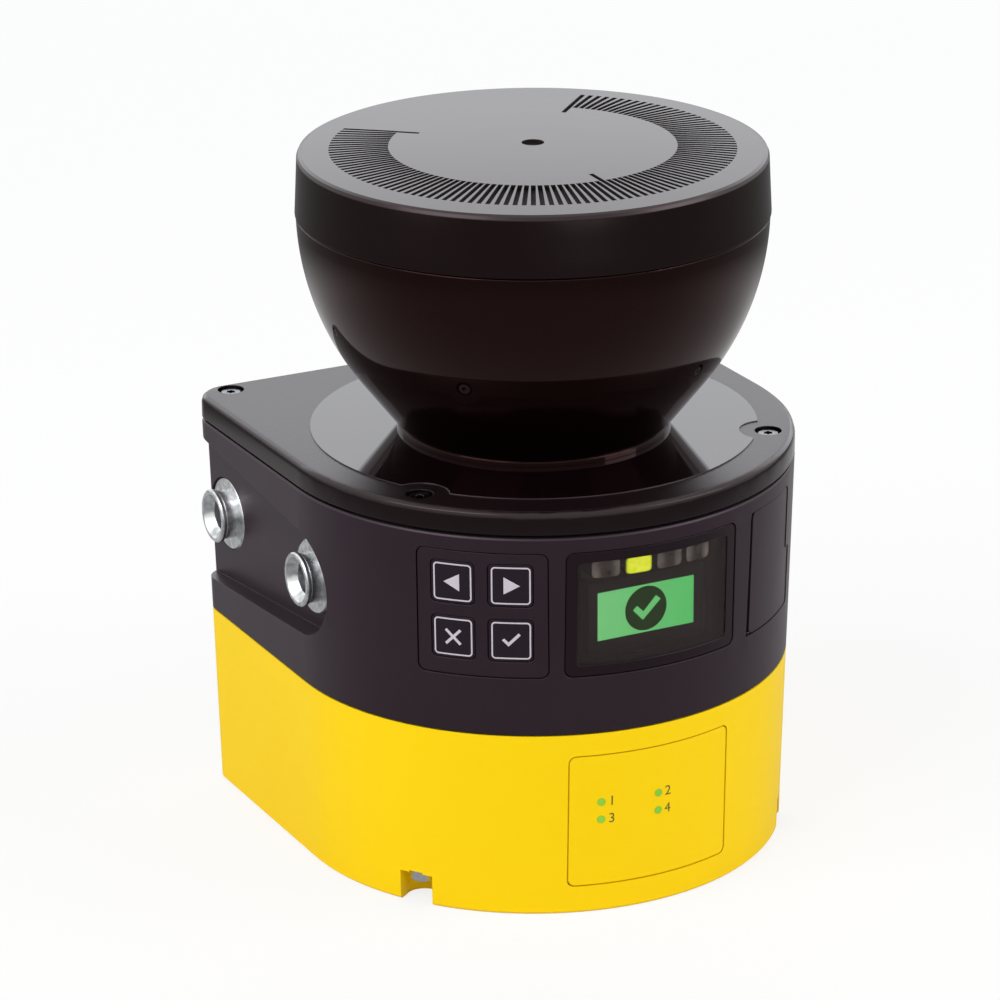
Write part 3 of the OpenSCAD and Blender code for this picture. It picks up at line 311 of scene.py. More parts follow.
# %% [markdown]
# ## Two surfaces on one moulding
# The plate under the bowl has a fine spark-eroded grain on top near its edge, a smoother
# side, and a polished land round the neck, a fifth of a millimetre higher. The cap has a
# grained top on a polished side. A mould is polished up to an edge, so the material
# tells the surfaces apart by height alone: only a thin layer of heights is grained, and
# elsewhere the grain's bump is multiplied by nothing and the roughness drops.

# %% Partly polished plastics


def polish(material, level, reach, side_gloss, top_gloss, satin):
    """Keeps the grain of a plastic only within a reach of a level, where the roughness is
    satin: the share of grain is 1 where |z - level| < reach. Below that the roughness is
    side_gloss, and above it top_gloss."""
    tree = material.node_tree
    nodes = {node.bl_idname: node for node in tree.nodes}
    z = add(tree, "ShaderNodeSeparateXYZ", {
        "Vector": nodes["ShaderNodeTexCoord"].outputs["Object"]}).outputs["Z"]
    share = node_math(tree, "COMPARE", z, level, reach)
    grain = node_math(tree, "MULTIPLY", nodes["ShaderNodeGroup"].outputs["Height"], share)
    tree.links.new(grain, nodes["ShaderNodeBump"].inputs["Height"])
    gloss = spread(tree, node_math(tree, "GREATER_THAN", z, level), side_gloss, top_gloss)
    rough = add(tree, "ShaderNodeMix", {0: share, 2: gloss, 3: satin}, data_type="FLOAT")
    tree.links.new(rough.outputs[0], nodes["ShaderNodeBsdfPrincipled"].inputs["Roughness"])


cover_plastic = moulded_plastic(
    "cover_plastic", (0.003, 0.001, 0.0015), (0.005, 0.002, 0.003), (0.3, 0.4), 0.55, 0.03,
    tint=cap_tint)
land_step, land_reach = 0.2 * MM, 0.12 * MM
border_z = plate_top_z - land_step
polish(cover_plastic, border_z, land_reach, side_gloss=0.18, top_gloss=0.05, satin=0.36)
cap_top_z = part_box("top_cap")[1].z
satin_drop, satin_reach = 1.2 * MM, 1.25 * MM
polish(cap_plastic, cap_top_z - satin_drop, satin_reach, side_gloss=0.08, top_gloss=0.3, satin=0.3)
print("grained at", round(border_z * 1000, 2), "mm on the plate")

# %% [markdown]
# ## Gaps and grooves
# Light hardly reaches the bottom of a narrow gap, and a gap round a key or between two
# grooves reads as a black line. A shine down there would spoil it, so shade is painted
# in: the finish turns matt, and its colour black, where it lies deeper than the surface:
# under the drafted front wall for the housing, and under the crowned top for the cap's
# field marks. The keys lie a quarter of a millimetre below the wall, so the painted shade
# on the wall starts just under them. The crown of the cap is a shallow dome, which falls
# with the square of the radius.

# %% Depth masks for painted shade
key_sink, gap_depth, gap_end_y = 0.25 * MM, 0.3 * MM, -18 * MM
crown_rise, crown_radius = 1.4 * MM, 49.7 * MM
groove_depth, groove_end = 0.12 * MM, 44.5 * MM


def flat_radius(tree, axes):
    """Distance from the Z axis: the length of the vector (x, y, 0)."""
    flat_place = add(tree, "ShaderNodeCombineXYZ", {"X": axes.outputs["X"], "Y": axes.outputs["Y"]})
    return add(tree, "ShaderNodeVectorMath", {0: flat_place.outputs[0]},
               operation="LENGTH").outputs["Value"]


# Painted shade on the front wall: share 1 where a point lies deeper than gap_depth under the wall.
front_gap_shade, given, made = new_group("front_gap_shade", [("Position", "vector")], [("Share", "float")])
axes = add(front_gap_shade, "ShaderNodeSeparateXYZ", {"Vector": given.outputs["Position"]})
wall_radius = node_math(front_gap_shade, "MULTIPLY_ADD", axes.outputs["Z"], wall_draft / rim_z,
                        half_width - wall_draft)
depth = node_math(front_gap_shade, "SUBTRACT", wall_radius, flat_radius(front_gap_shade, axes))
deep = node_math(front_gap_shade, "GREATER_THAN", depth, gap_depth)
in_front = node_math(front_gap_shade, "LESS_THAN", axes.outputs["Y"], gap_end_y)
front_gap_shade.links.new(node_math(front_gap_shade, "MULTIPLY", deep, in_front), made.inputs["Share"])

# Painted shade in the cap's grooves: share 1 where a point lies deeper than groove_depth under the
# crown.
cap_groove_shade, given, made = new_group("cap_groove_shade", [("Position", "vector")], [("Share", "float")])
axes = add(cap_groove_shade, "ShaderNodeSeparateXYZ", {"Vector": given.outputs["Position"]})
radius = flat_radius(cap_groove_shade, axes)
crown_z = node_math(cap_groove_shade, "MULTIPLY_ADD", node_math(cap_groove_shade, "MULTIPLY", radius, radius),
                    -crown_rise / crown_radius ** 2, cap_top_z)
depth = node_math(cap_groove_shade, "SUBTRACT", crown_z, axes.outputs["Z"])
deep = node_math(cap_groove_shade, "GREATER_THAN", depth, groove_depth)
inside = node_math(cap_groove_shade, "LESS_THAN", radius, groove_end)
cap_groove_shade.links.new(node_math(cap_groove_shade, "MULTIPLY", deep, inside), made.inputs["Share"])


def darken(material, group):
    """Paints shade into a finish where the group's share is 1: its colour is mixed by the
    share with near black, and its roughness with 0.9, so that it turns matt."""
    tree = material.node_tree
    shader = tree.nodes["Principled BSDF"]
    mask = add(tree, "ShaderNodeGroup", node_tree=group)
    place = next(n for n in tree.nodes if n.bl_idname == "ShaderNodeTexCoord")
    tree.links.new(place.outputs["Object"], mask.inputs["Position"])
    colour = shader.inputs["Base Color"].links[0].from_socket
    rough = shader.inputs["Roughness"].links[0].from_socket
    share = mask.outputs["Share"]
    black = blend_colours(tree, share, colour, (0.0005, 0.0005, 0.0005, 1))
    tree.links.new(black, shader.inputs["Base Color"])
    matt = add(tree, "ShaderNodeMix", {0: share, 2: rough, 3: 0.9}, data_type="FLOAT")
    tree.links.new(matt.outputs[0], shader.inputs["Roughness"])


# Shade is painted into the gaps of the housing, keys and display frame, and into the cap's grooves.
for finish in (black_plastic, key_plastic, frame_plastic):
    darken(finish, front_gap_shade)
darken(cap_plastic, cap_groove_shade)
print("depth masks:", front_gap_shade.name, cap_groove_shade.name)

# %% [markdown]
# ## Metal
# The bushings, screws and connectors are zinc plated: a bright metal whose crystals
# give it a faint mottle. The steel inside is plainer. Metals take their colour from the
# reflection, so Metallic is one and the base colour is the tint of the shine.

# %% Metals


def plated_metal(name, dark, bright, roughness, cell, edge=0.2):
    """Metal with a mottle of cells `cell` mm wide between two tones, and a (low, high)
    roughness that follows the same mottle."""
    material = bpy.data.materials.new(name)
    material.use_nodes = True
    tree = material.node_tree
    shader = tree.nodes["Principled BSDF"]
    place = add(tree, "ShaderNodeTexCoord")
    spangle = add(tree, "ShaderNodeGroup", node_tree=zinc_spangle)
    tree.links.new(place.outputs["Object"], spangle.inputs["Position"])
    spangle.inputs["Cells"].default_value = 1 / (cell * MM)
    colours = blend_colours(tree, spangle.outputs["Tone"], (*bright, 1), (*dark, 1))
    tree.links.new(colours, shader.inputs["Base Color"])
    tree.links.new(spread(tree, spangle.outputs["Height"], *roughness), shader.inputs["Roughness"])
    rounded = add(tree, "ShaderNodeBevel", {"Radius": edge * MM}, samples=4)
    bump = add(tree, "ShaderNodeBump", {
        "Height": spangle.outputs["Height"], "Distance": 0.02 * MM, "Normal": rounded.outputs[0]})
    tree.links.new(bump.outputs[0], shader.inputs["Normal"])
    shader.inputs["Metallic"].default_value = 1.0
    return material


zinc = plated_metal("zinc", (0.10, 0.12, 0.15), (0.90, 0.91, 0.92), (0.2, 0.4), 1.4)
screw_zinc = plated_metal("screw_zinc", (0.5, 0.5, 0.52), (0.85, 0.85, 0.87), (0.2, 0.35), 0.6)
dark_screws = plated_metal(
    "dark_screws", (0.02, 0.02, 0.022), (0.15, 0.15, 0.16), (0.14, 0.26), 0.4, edge=0.12)
plain_steel = plated_metal("plain_steel", (0.4, 0.4, 0.42), (0.6, 0.6, 0.62), (0.25, 0.4), 0.8)
cast_aluminium = plated_metal(
    "cast_aluminium", (0.45, 0.45, 0.46), (0.62, 0.62, 0.63), (0.4, 0.6), 0.5)
mirror_coat = plated_metal("mirror_coat", (0.9, 0.9, 0.92), (0.95, 0.95, 0.97), (0.01, 0.02), 4.0)
print("metals:", [m.name for m in bpy.data.materials if "zinc" in m.name or "steel" in m.name])

# %% [markdown]
# ## The display's own finishes
# The window is smoked plastic: its two surfaces together let about a third of the light
# through and mirror the room. Behind it the screen glows. A glow is Emission on the
# Principled shader: the colour may change over the surface, while the strength is one
# plain number. The screen is a little brighter at its left and shows the faint grid of
# its cells.

# %% Display finishes
smoked_window = moulded_plastic(
    "smoked_window", (0.034, 0.025, 0.024), (0.040, 0.029, 0.027), (0.08, 0.12), 3.0, 0.0002)
smoked_window.node_tree.nodes["Principled BSDF"].inputs["Alpha"].default_value = 0.45
line_share, line_depth = 0.16, 0.12


def glowing(name, colour, second, strength, low_x, high_x, cell=None):
    """Emission that blends from the first colour at low_x to the second at high_x, both
    in mm, with darker lines between cells `cell` mm wide if that is given: a line shows
    where the fraction of x / cell or z / cell is below the line's share."""
    material = bpy.data.materials.new(name)
    material.use_nodes = True
    tree = material.node_tree
    shader = tree.nodes["Principled BSDF"]
    place = add(tree, "ShaderNodeTexCoord")
    axes = add(tree, "ShaderNodeSeparateXYZ", {"Vector": place.outputs["Object"]})
    along = add(tree, "ShaderNodeMapRange", {
        "Value": axes.outputs["X"], "From Min": low_x * MM, "From Max": high_x * MM})
    cloud = add(tree, "ShaderNodeTexNoise", {
        "Vector": place.outputs["Object"], "Scale": 400.0, "Detail": 2.0})
    blended = blend_colours(tree, along.outputs["Result"], (*colour, 1), (*second, 1))
    stained = blend_colours(tree, spread(tree, cloud.outputs[0], 0.0, 0.25), blended,
                            (*[0.6 * c for c in second], 1))
    if cell:
        for axis in ("X", "Z"):
            wave = node_math(tree, "MULTIPLY", axes.outputs[axis], 1 / (cell * MM))
            line = node_math(tree, "LESS_THAN", node_math(tree, "FRACT", wave, 0.0), line_share)
            faint = node_math(tree, "MULTIPLY", line, line_depth)
            stained = blend_colours(tree, faint, stained, (*[0.3 * c for c in second], 1))
    tree.links.new(stained, shader.inputs["Emission Color"])
    tree.links.new(stained, shader.inputs["Base Color"])
    shader.inputs["Emission Strength"].default_value = strength
    shader.inputs["Roughness"].default_value = 0.35
    return material


screen_glow = glowing("screen_glow", (0.30, 0.95, 0.34), (0.15, 0.85, 0.22), 1.6,
                      -11.5, 11.5, 0.35)
screen_dark = glowing("screen_dark", (0.004, 0.07, 0.0), (0.003, 0.06, 0.0), 0.9,
                      -11.5, 11.5, 0.35)
status_glow = glowing("status_glow", (0.22, 0.50, 0.03), (0.18, 0.45, 0.03), 0.35, -15, 5)
print("glows:", screen_glow.name, screen_dark.name, status_glow.name)

# %% [markdown]
# ## The indicator lenses
# Four small lenses stand in a row above the screen, and the second one is lit. They are
# one moulding, so one material serves them all: a mask on X picks out the lit lens. Its
# glow is mottled by the diffuser behind it, from bright yellow to a green border, and
# only a thin layer at its front glows. The dim ones get a painted highlight: a faint,
# mottled glow at their two ends that stands in for the light they catch. Each front fades
# to dark past a rounded rectangle, on which the sixth powers of both distances from the
# middle, as shares of the half width and height, add up to one.

# %% Indicator lens material
indicator_lens = bpy.data.materials.new("indicator_lens")
indicator_lens.use_nodes = True
tree = indicator_lens.node_tree
shader = tree.nodes["Principled BSDF"]
place = add(tree, "ShaderNodeTexCoord")
axes = add(tree, "ShaderNodeSeparateXYZ", {"Vector": place.outputs["Object"]})
lens_low, lens_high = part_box("indicator_lenses")
lens_pitch, lens_half_share, front_layer = 7.2 * MM, 0.41, 0.25 * MM
lit_x = -lens_pitch / 2
aside = node_math(tree, "ABSOLUTE", node_math(tree, "SUBTRACT", axes.outputs["X"], lit_x), 0.0)
lit = node_math(tree, "LESS_THAN", aside, lens_pitch / 2)
cell = node_math(tree, "FRACT", node_math(tree, "DIVIDE", axes.outputs["X"], lens_pitch), 0.0)
off_centre = node_math(tree, "ABSOLUTE", node_math(tree, "SUBTRACT", cell, 0.5), 0.0)
in_front = node_math(tree, "GREATER_THAN", flat_radius(tree, axes), -lens_low.y - front_layer)
level = add(tree, "ShaderNodeMapRange", {
    "Value": axes.outputs["Z"], "From Min": lens_low.z, "From Max": lens_high.z,
    "To Min": -0.5, "To Max": 0.5})
off_level = node_math(tree, "ABSOLUTE", level.outputs["Result"], 0.0)
sixth_powers = [
    node_math(tree, "POWER", node_math(tree, "DIVIDE", distance, half), 6.0)
    for distance, half in ((off_centre, lens_half_share), (off_level, 0.5))]
outline = node_math(tree, "ADD", *sixth_powers)
rim = add(tree, "ShaderNodeMapRange", {"Value": outline, "From Min": 0.33, "From Max": 0.75})
inside = add(tree, "ShaderNodeMapRange", {
    "Value": outline, "From Min": 0.85, "From Max": 1.05, "To Min": 1.0, "To Max": 0.0})
speckle = add(tree, "ShaderNodeTexNoise", {
    "Vector": place.outputs["Object"], "Scale": 900.0, "Detail": 3.0})
rich = blend_colours(tree, spread(tree, speckle.outputs[0], -0.4, 1.2),
                     (0.72, 0.80, 0.0, 1), (0.95, 0.98, 0.10, 1))
bordered = blend_colours(tree, rim.outputs["Result"], rich, (0.30, 0.40, 0.0, 1))
# Painted highlight on the unlit lenses: a faint mottled glow, stronger towards both ends of each, in
# place of the light they catch.
ends = add(tree, "ShaderNodeMapRange", {
    "Value": off_centre, "From Min": 0.12, "From Max": 0.30, "To Min": 0.25, "To Max": 1.0})
painted_glow_mottle = add(tree, "ShaderNodeTexNoise", {
    "Vector": place.outputs["Object"], "Scale": 450.0, "Detail": 2.0})
faint = node_math(tree, "MULTIPLY", ends.outputs["Result"], painted_glow_mottle.outputs[0])
dim_painted_glow = blend_colours(tree, faint, (0.0, 0.0, 0.0, 1), (0.20, 0.17, 0.15, 1))
glow = blend_colours(tree, inside.outputs["Result"], (0.0, 0.0, 0.0, 1),
                     blend_colours(tree, lit, dim_painted_glow, bordered))
tree.links.new(blend_colours(tree, in_front, (0.0, 0.0, 0.0, 1), glow),
               shader.inputs["Emission Color"])
tree.links.new(blend_colours(tree, in_front, (0.02, 0.02, 0.02, 1), glow),
               shader.inputs["Base Color"])
shader.inputs["Emission Strength"].default_value = 2.4
shader.inputs["Roughness"].default_value = 0.2
print("lit lens at x =", round(lit_x * 1000, 2), "mm")

# %% [markdown]
# ## Finishing the solid pieces
# The solids come in as loose triangles with the normals that model.glb gives them. A
# modifier tidies only how they are shaded: it forgets the imported normals, joins the
# points that lie on each other, shades everything smooth, and keeps each edge sharp
# where the faces turn by more than 28 degrees. A second one weighs the normals by the
# area of the faces, so that a big flat face stays flat up to its narrow chamfers. The
# cap's grooves cut its faces up unevenly, so it has a smaller angle in place of that.
# The meshes themselves are not touched.

# %% Clean shading
sharp_angle, cap_sharp_angle = math.radians(28), math.radians(15)
clean_shading = bpy.data.node_groups.new("clean_shading", "GeometryNodeTree")
clean_shading.interface.new_socket("Geometry", in_out="INPUT", socket_type="NodeSocketGeometry")
sharp_from = clean_shading.interface.new_socket(
    "Sharp from", in_out="INPUT", socket_type="NodeSocketFloat")
sharp_from.default_value = sharp_angle
clean_shading.interface.new_socket("Geometry", in_out="OUTPUT", socket_type="NodeSocketGeometry")
given, made = add(clean_shading, "NodeGroupInput"), add(clean_shading, "NodeGroupOutput")
plain = add(clean_shading, "GeometryNodeRemoveAttribute", {
    "Geometry": given.outputs[0], "Name": "custom_normal"})
joined = add(clean_shading, "GeometryNodeMergeByDistance", {
    "Geometry": plain.outputs[0], "Distance": 2e-6})
smooth = add(clean_shading, "GeometryNodeSetShadeSmooth", {
    "Geometry": joined.outputs[0], "Shade Smooth": True}, domain="FACE")
turn = add(clean_shading, "GeometryNodeInputMeshEdgeAngle")
steep = add(clean_shading, "FunctionNodeCompare", {
    "A": turn.outputs["Unsigned Angle"], "B": given.outputs["Sharp from"]},
    data_type="FLOAT", operation="GREATER_THAN")
creased = add(clean_shading, "GeometryNodeSetShadeSmooth", {
    "Geometry": smooth.outputs[0], "Selection": steep.outputs[0], "Shade Smooth": False},
    domain="EDGE")
clean_shading.links.new(creased.outputs[0], made.inputs[0])

# %% A finish for every solid
finish_of_slot = {
    "yellow_housing": yellow_plastic, "black_housing": black_plastic,
    "cover_plate": cover_plastic, "seal": seal_rubber, "optics_cover": bowl_plastic,
    "screws": screw_zinc, "bushings": zinc, "keys": key_plastic,
    "display_window": smoked_window, "lcd": inner_plastic, "indicator_lenses": indicator_lens,
    "status_lights": status_glow, "circuit_boards": circuit_board, "steel": plain_steel,
    "chassis": cast_aluminium, "windings": windings, "inner_plastic": inner_plastic,
    "mirror": mirror_coat, "lens": smoked_window,
}
finish_of_node = {"top_cap": cap_plastic, "cover_screws": dark_screws,
                  "display_frame": frame_plastic}
for part in frame["record"]["subparts"]:
    solid = frame["nodes"][part["node"]]
    finish = finish_of_node.get(part["node"], finish_of_slot[part["material_slot"]])
    for slot in solid.material_slots:
        slot.material = finish
    tidy = solid.modifiers.new("clean_shading", "NODES")
    tidy.node_group = clean_shading
    if part["node"] == "top_cap":
        tidy[sharp_from.identifier] = cap_sharp_angle
    else:
        flat = solid.modifiers.new("flat_faces", "WEIGHTED_NORMAL")
        flat.keep_sharp = True

# %% [markdown]
# ## The bowl
# The bowl is the window of the scanner: one piece of polished black plastic that the
# infrared beam passes through. The eye reads its form from the reflections, and a
# reflection shows every facet, so it is turned again as a fine surface in place of the
# faceted solid. Its side is an arc whose centre lies just above the rim and beyond the
# axis. The arc runs into a straight cone, and the cone ends in a collar on the plate.

# %% Bowl
bowl_low, bowl_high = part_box("optics_cover")
arc_centre_rise, wall, lip = 1 * MM, 2.2 * MM, 0.25 * MM
neck_r, collar_width, collar_height = 28 * MM, 1.4 * MM, 1 * MM
cone_height, cone_step = 10.95 * MM, 1.03 * MM
arc_centre_z, land_z = bowl_high.z + arc_centre_rise, plate_top_z
collar_r, collar_z = neck_r + collar_width, land_z + collar_height
arc_height = arc_centre_z - collar_z - cone_height
width = bowl_high.x - neck_r - cone_step

# The arc and the cone share a slope, and together they are as wide as the bowl's side:
# width = arc_height * t + cone_height * 2t / (1 - t * t), with t the tangent of half the
# slope. Solved for the t in front and worked out again and again, it settles.
half = 0.35
for _ in range(30):
    half = width / (arc_height + 2 * cone_height / (1 - half * half))
slope = 2 * math.atan(half)
arc_radius = arc_height / math.sin(slope)
arc_centre_r = bowl_high.x - arc_radius
print("slope of the cone:", round(math.degrees(slope), 2), "arc:", round(arc_radius / MM, 2))


def bowl_side(radius, count):
    """Points (r, z) of the bowl's side from the rim down to the cone. The arc leaves its
    centre at the angle t, so r = centre + radius cos t and z = centre - radius sin t,
    from the angle at which z is the rim's height to the slope of the cone."""
    first = math.asin((arc_centre_z - bowl_high.z) / radius)
    t = np.linspace(first, slope, count)
    return np.stack([arc_centre_r + radius * np.cos(t), arc_centre_z - radius * np.sin(t)], -1)


outer, inner = bowl_side(arc_radius, 65), bowl_side(arc_radius - wall, 33)


def cone_radius(side, z):
    """Radius at height z of the straight cone that goes on from the end of a side."""
    return side[-1, 0] - (side[-1, 1] - z) * math.tan(slope)


foot_r = neck_r - wall
turn_z = land_z + (foot_r - cone_radius(inner, land_z)) / math.tan(slope)
# The lip's small chamfer takes the place of the first few points of the outer arc.
bowl_profile = np.vstack([
    [[outer[0, 0] - lip, bowl_high.z]], [[outer[0, 0], bowl_high.z - lip]], outer[4:],
    [[cone_radius(outer, collar_z), collar_z], [collar_r, collar_z], [collar_r, land_z],
     [neck_r, land_z], [neck_r, bowl_low.z], [foot_r, bowl_low.z], [foot_r, turn_z]],
    inner[::-1]])
bowl = make_piece("bowl", *revolve(bowl_profile, 256), 25)
dress(bowl, bowl_plastic, "scanner", ["optics_cover"])

# %% [markdown]
# ## Prints that follow the wall
# The keys carry pad prints: a rounded frame and a sign in each. A print is a film of
# ink, so it is a real but very thin solid. Its outline is drawn flat, in millimetres
# from the middle of the key, and every point is then laid on the curved, drafted wall.

# %% Print helpers


def on_wall(angle, height, depth):
    """Place function for the front wall: u runs round the wall from an angle, in
    degrees, v runs up from a height, and out stands off a face that lies `depth` below
    it. The wall's radius at v gives the turn u / radius."""
    def place(u, v, out):
        z = height + v
        radius = face_radius(z) - depth + out
        turn = math.radians(angle) + u / radius
        return np.stack([radius * np.sin(turn), -radius * np.cos(turn), z], -1)
    return place


def on_plane(y, height):
    """Place function for a flat front: u along X, v up from a height, out towards -Y."""
    def place(u, v, out):
        return np.stack(np.broadcast_arrays(u, y - out, height + v), -1)
    return place


def outwards(points, faces):
    """Turns all faces round if they enclose a negative volume, which is a sixth of the
    sum of a . (b x c) over the triangles a, b, c."""
    triangles = np.vstack([faces[:, :3], faces[:, [0, 2, 3]]])
    a, b, c = (points[triangles[:, i]] for i in range(3))
    volume = np.einsum("ij,ij->i", a, np.cross(b, c)).sum() / 6
    return faces[:, ::-1] if volume < 0 else faces


def resample(corners, per_side):
    """Divides each side of a closed outline into equal steps: corner + share * side."""
    corners = np.asarray(corners, float)
    share = np.linspace(0, 1, per_side, endpoint=False)[None, :, None]
    return (corners[:, None] * (1 - share) + np.roll(corners, -1, 0)[:, None] * share).reshape(-1, 2)


def rounded_square(size, corner, per_corner=8):
    """Closed outline of a square with rounded corners: four quarter circles in turn."""
    turn = np.arange(4)[:, None] * np.pi / 2 + np.linspace(0, np.pi / 2, per_corner)[None, :]
    middle = size / 2 - corner
    x = middle * np.sign(np.cos(turn.mean(1)))[:, None] + corner * np.cos(turn)
    y = middle * np.sign(np.sin(turn.mean(1)))[:, None] + corner * np.sin(turn)
    return np.stack([x, y], -1).reshape(-1, 2)


def ribbon(name, outline, width, place, low, high):
    """Frame of ink along a closed outline: the outline moved half a width in and out
    along its normals, at two depths, gives a closed loop of four rows."""
    along = np.roll(outline, -1, 0) - np.roll(outline, 1, 0)
    normal = np.stack([along[:, 1], -along[:, 0]], -1) / np.linalg.norm(along, axis=1)[:, None]
    wide, narrow = outline + normal * width / 2, outline - normal * width / 2
    rows = [place(line[:, 0] * MM, line[:, 1] * MM, out * MM)
            for line, out in ((wide, high), (narrow, high), (narrow, low), (wide, low))]
    points = np.vstack(rows)
    return make_piece(name, points, outwards(points, grid_faces(4, len(outline), True, True)))


def plate(name, outline, middle, place, low, high, rings=4):
    """Filled outline: rings that shrink from the outline to a middle point, at the front
    and again at the back, with a fan of faces at each middle."""
    share = np.linspace(0, 1, rings + 1)[1:, None, None]
    ring = (np.asarray(middle) + share * (outline - np.asarray(middle))).reshape(-1, 2)
    count = len(outline)
    front = place(ring[:, 0] * MM, ring[:, 1] * MM, high * MM)
    back = place(ring[:, 0] * MM, ring[:, 1] * MM, low * MM).reshape(rings, count, 3)[::-1]
    poles = [place(np.array([middle[0] * MM]), np.array([middle[1] * MM]), out * MM)
             for out in (high, low)]
    points = np.vstack([front, back.reshape(-1, 3), *poles])
    faces = grid_faces(2 * rings, count, False, True)
    i = np.arange(count)
    j = (i + 1) % count
    last = (2 * rings - 1) * count
    first_pole, last_pole = np.full(count, 2 * rings * count), np.full(count, 2 * rings * count + 1)
    fans = np.vstack([np.stack([first_pole, j, i, i], -1),
                      np.stack([last_pole, last + i, last + j, last + j], -1)])
    faces = outwards(points, np.vstack([faces, fans]))
    clean = [list(dict.fromkeys(face)) for face in faces.tolist()]
    return make_piece(name, points, clean)


# %% [markdown]
# ## The key prints
# Four keys: step back, step on, cancel and confirm. Their signs are a triangle to the
# left, one to the right, a cross and a tick, each drawn by a handful of corners in
# millimetres. The ink stands a fiftieth of a millimetre proud of the key.

# %% Key prints
key_ink = moulded_plastic(
    "key_ink", (0.60, 0.55, 0.62), (0.52, 0.47, 0.54), (0.35, 0.5), 0.2, 0.004, edge=0.02)
ink_low, ink_high = -0.03, 0.02
frame_size, frame_corner, frame_line = 7.9, 0.7, 0.32
bar, reach = 0.42, 1.8
cross = [(bar, 0), (reach, reach - bar), (reach - bar, reach), (0, bar),
         (-reach + bar, reach), (-reach, reach - bar), (-bar, 0), (-reach, -reach + bar),
         (-reach + bar, -reach), (0, -bar), (reach - bar, -reach), (reach, -reach + bar)]
tick = [(-1.9, 0.05), (-0.55, -1.3), (2.0, 1.25), (1.55, 1.7), (-0.55, -0.4), (-1.45, 0.5)]
triangle = [(-1.9, 0), (1.5, -1.9), (1.5, 1.9)]
signs = {
    "arrow_left": (triangle, (0, 0)),
    "arrow_right": ([(-x, y) for x, y in triangle[::-1]], (0, 0)),
    "cross": (cross, (0, 0)),
    "tick": (tick, (-0.55, -0.85)),
}
for key, sign in keys.items():
    low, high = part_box(key)
    middle = (low + high) / 2
    angle = math.degrees(math.atan2(middle.x, -middle.y))
    wall_here = on_wall(angle, middle.z, key_sink)
    square = resample(rounded_square(frame_size, frame_corner), 6)
    frame_print = ribbon(key + "_frame_print", square, frame_line, wall_here, ink_low, ink_high)
    dress(frame_print, key_ink, key)
    corners, centre = signs[sign]
    sign_print = plate(key + "_sign_print", resample(corners, 6), centre, wall_here,
                       ink_low, ink_high)
    dress(sign_print, key_ink, key)

# %% [markdown]
# ## The screen
# Behind the window the screen shows a tick in a dark disc. The lit part is a thin plate
# on the front of the display module, and the disc and the tick are thinner plates on
# top of it, each a little into the one below, so each has its own clean edge.

# %% Screen
lcd_low, lcd_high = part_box("lcd_module")
screen_here = on_plane(lcd_low.y, (lcd_low.z + lcd_high.z) / 2)
half_x, half_z, disc_radius = 11.35, 5.3, 4.9
corners = [(-half_x, -half_z), (half_x, -half_z), (half_x, half_z), (-half_x, half_z)]
screen = plate("screen", resample(corners, 4), (0, 0), screen_here, -0.05, 0.05)
dress(screen, screen_glow, "scanner")
turn = np.linspace(0, 2 * np.pi, 64, endpoint=False)
circle = disc_radius * np.stack([np.cos(turn), np.sin(turn)], -1)
disc = plate("screen_disc", circle, (0, 0), screen_here, 0.04, 0.10)
dress(disc, screen_dark, "scanner")
broad_tick = [(-3.07, 0.02), (-0.76, -2.46), (3.47, 1.5), (2.33, 2.47), (-0.6, -0.62), (-2.1, 0.86)]
screen_tick = plate("screen_tick", resample(broad_tick, 4), (-0.8, -1.5), screen_here, 0.09, 0.15)
dress(screen_tick, screen_glow, "scanner")

# %% [markdown]
# ## The numbers by the status lights
# Each status light has a plain number next to it. Blender's own font gives the shape;
# the text is made a mesh, its loose points are joined, and each point is then laid on
# the wall, as the key prints are.

# %% Numbers
number_ink = moulded_plastic(
    "number_ink", (0.10, 0.085, 0.01), (0.13, 0.11, 0.012), (0.4, 0.5), 0.2, 0.004, edge=0.02)
lights_low, lights_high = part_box("status_lights")
light_r, panel_sink = 0.85 * MM, 0.1 * MM
number_height, number_thick, number_gap = 3.1 * MM, 0.02 * MM, 0.7 * MM
columns = (lights_low.x + light_r, lights_high.x - light_r)
rows = (lights_high.z - light_r, lights_low.z + light_r)
places = [(x, z) for z in rows for x in columns]
for number, (x, z) in enumerate(places, start=1):
    text = bpy.data.curves.new(f"number_{number}", "FONT")
    text.body, text.size, text.extrude = str(number), number_height, number_thick
    text.align_x, text.align_y = "LEFT", "CENTER"
    holder = bpy.data.objects.new(f"number_{number}_text", text)
    bpy.context.scene.collection.objects.link(holder)
    shape = bpy.data.meshes.new_from_object(
        holder.evaluated_get(bpy.context.evaluated_depsgraph_get()))
    bpy.data.objects.remove(holder)
    flat = np.empty(len(shape.vertices) * 3)
    shape.vertices.foreach_get("co", flat)
    flat = flat.reshape(-1, 3)
    wall_here = on_wall(0, z, panel_sink)
    start = math.asin(x / face_radius(z)) * face_radius(z) + light_r + number_gap
    laid = wall_here(flat[:, 0] + start, flat[:, 1], flat[:, 2])
    merged, index = np.unique(np.round(laid, 8), axis=0, return_inverse=True)
    faces = [[int(index.ravel()[v]) for v in face.vertices] for face in shape.polygons]
    dress(make_piece(f"status_number_{number}", merged, faces), number_ink, "scanner")
print("numbers at", [[round(v * 1000, 1) for v in p] for p in places])

# %% [markdown]
# ## The studio
# A pale floor and soft, even light. The world gives an even fill, a large lamp at the
# upper left gives the form, and a smaller one at the right opens the shadows. A long and
# slightly blue lamp behind the object makes the flat tops shine at a low angle, as a
# bright wall would. Lamps are kept at a plain level, at which a colour looks as it is
# written. To the camera the world is white and so is most of the floor, which still
# carries the object's soft shadow. Mirrors and glass see the white world too.

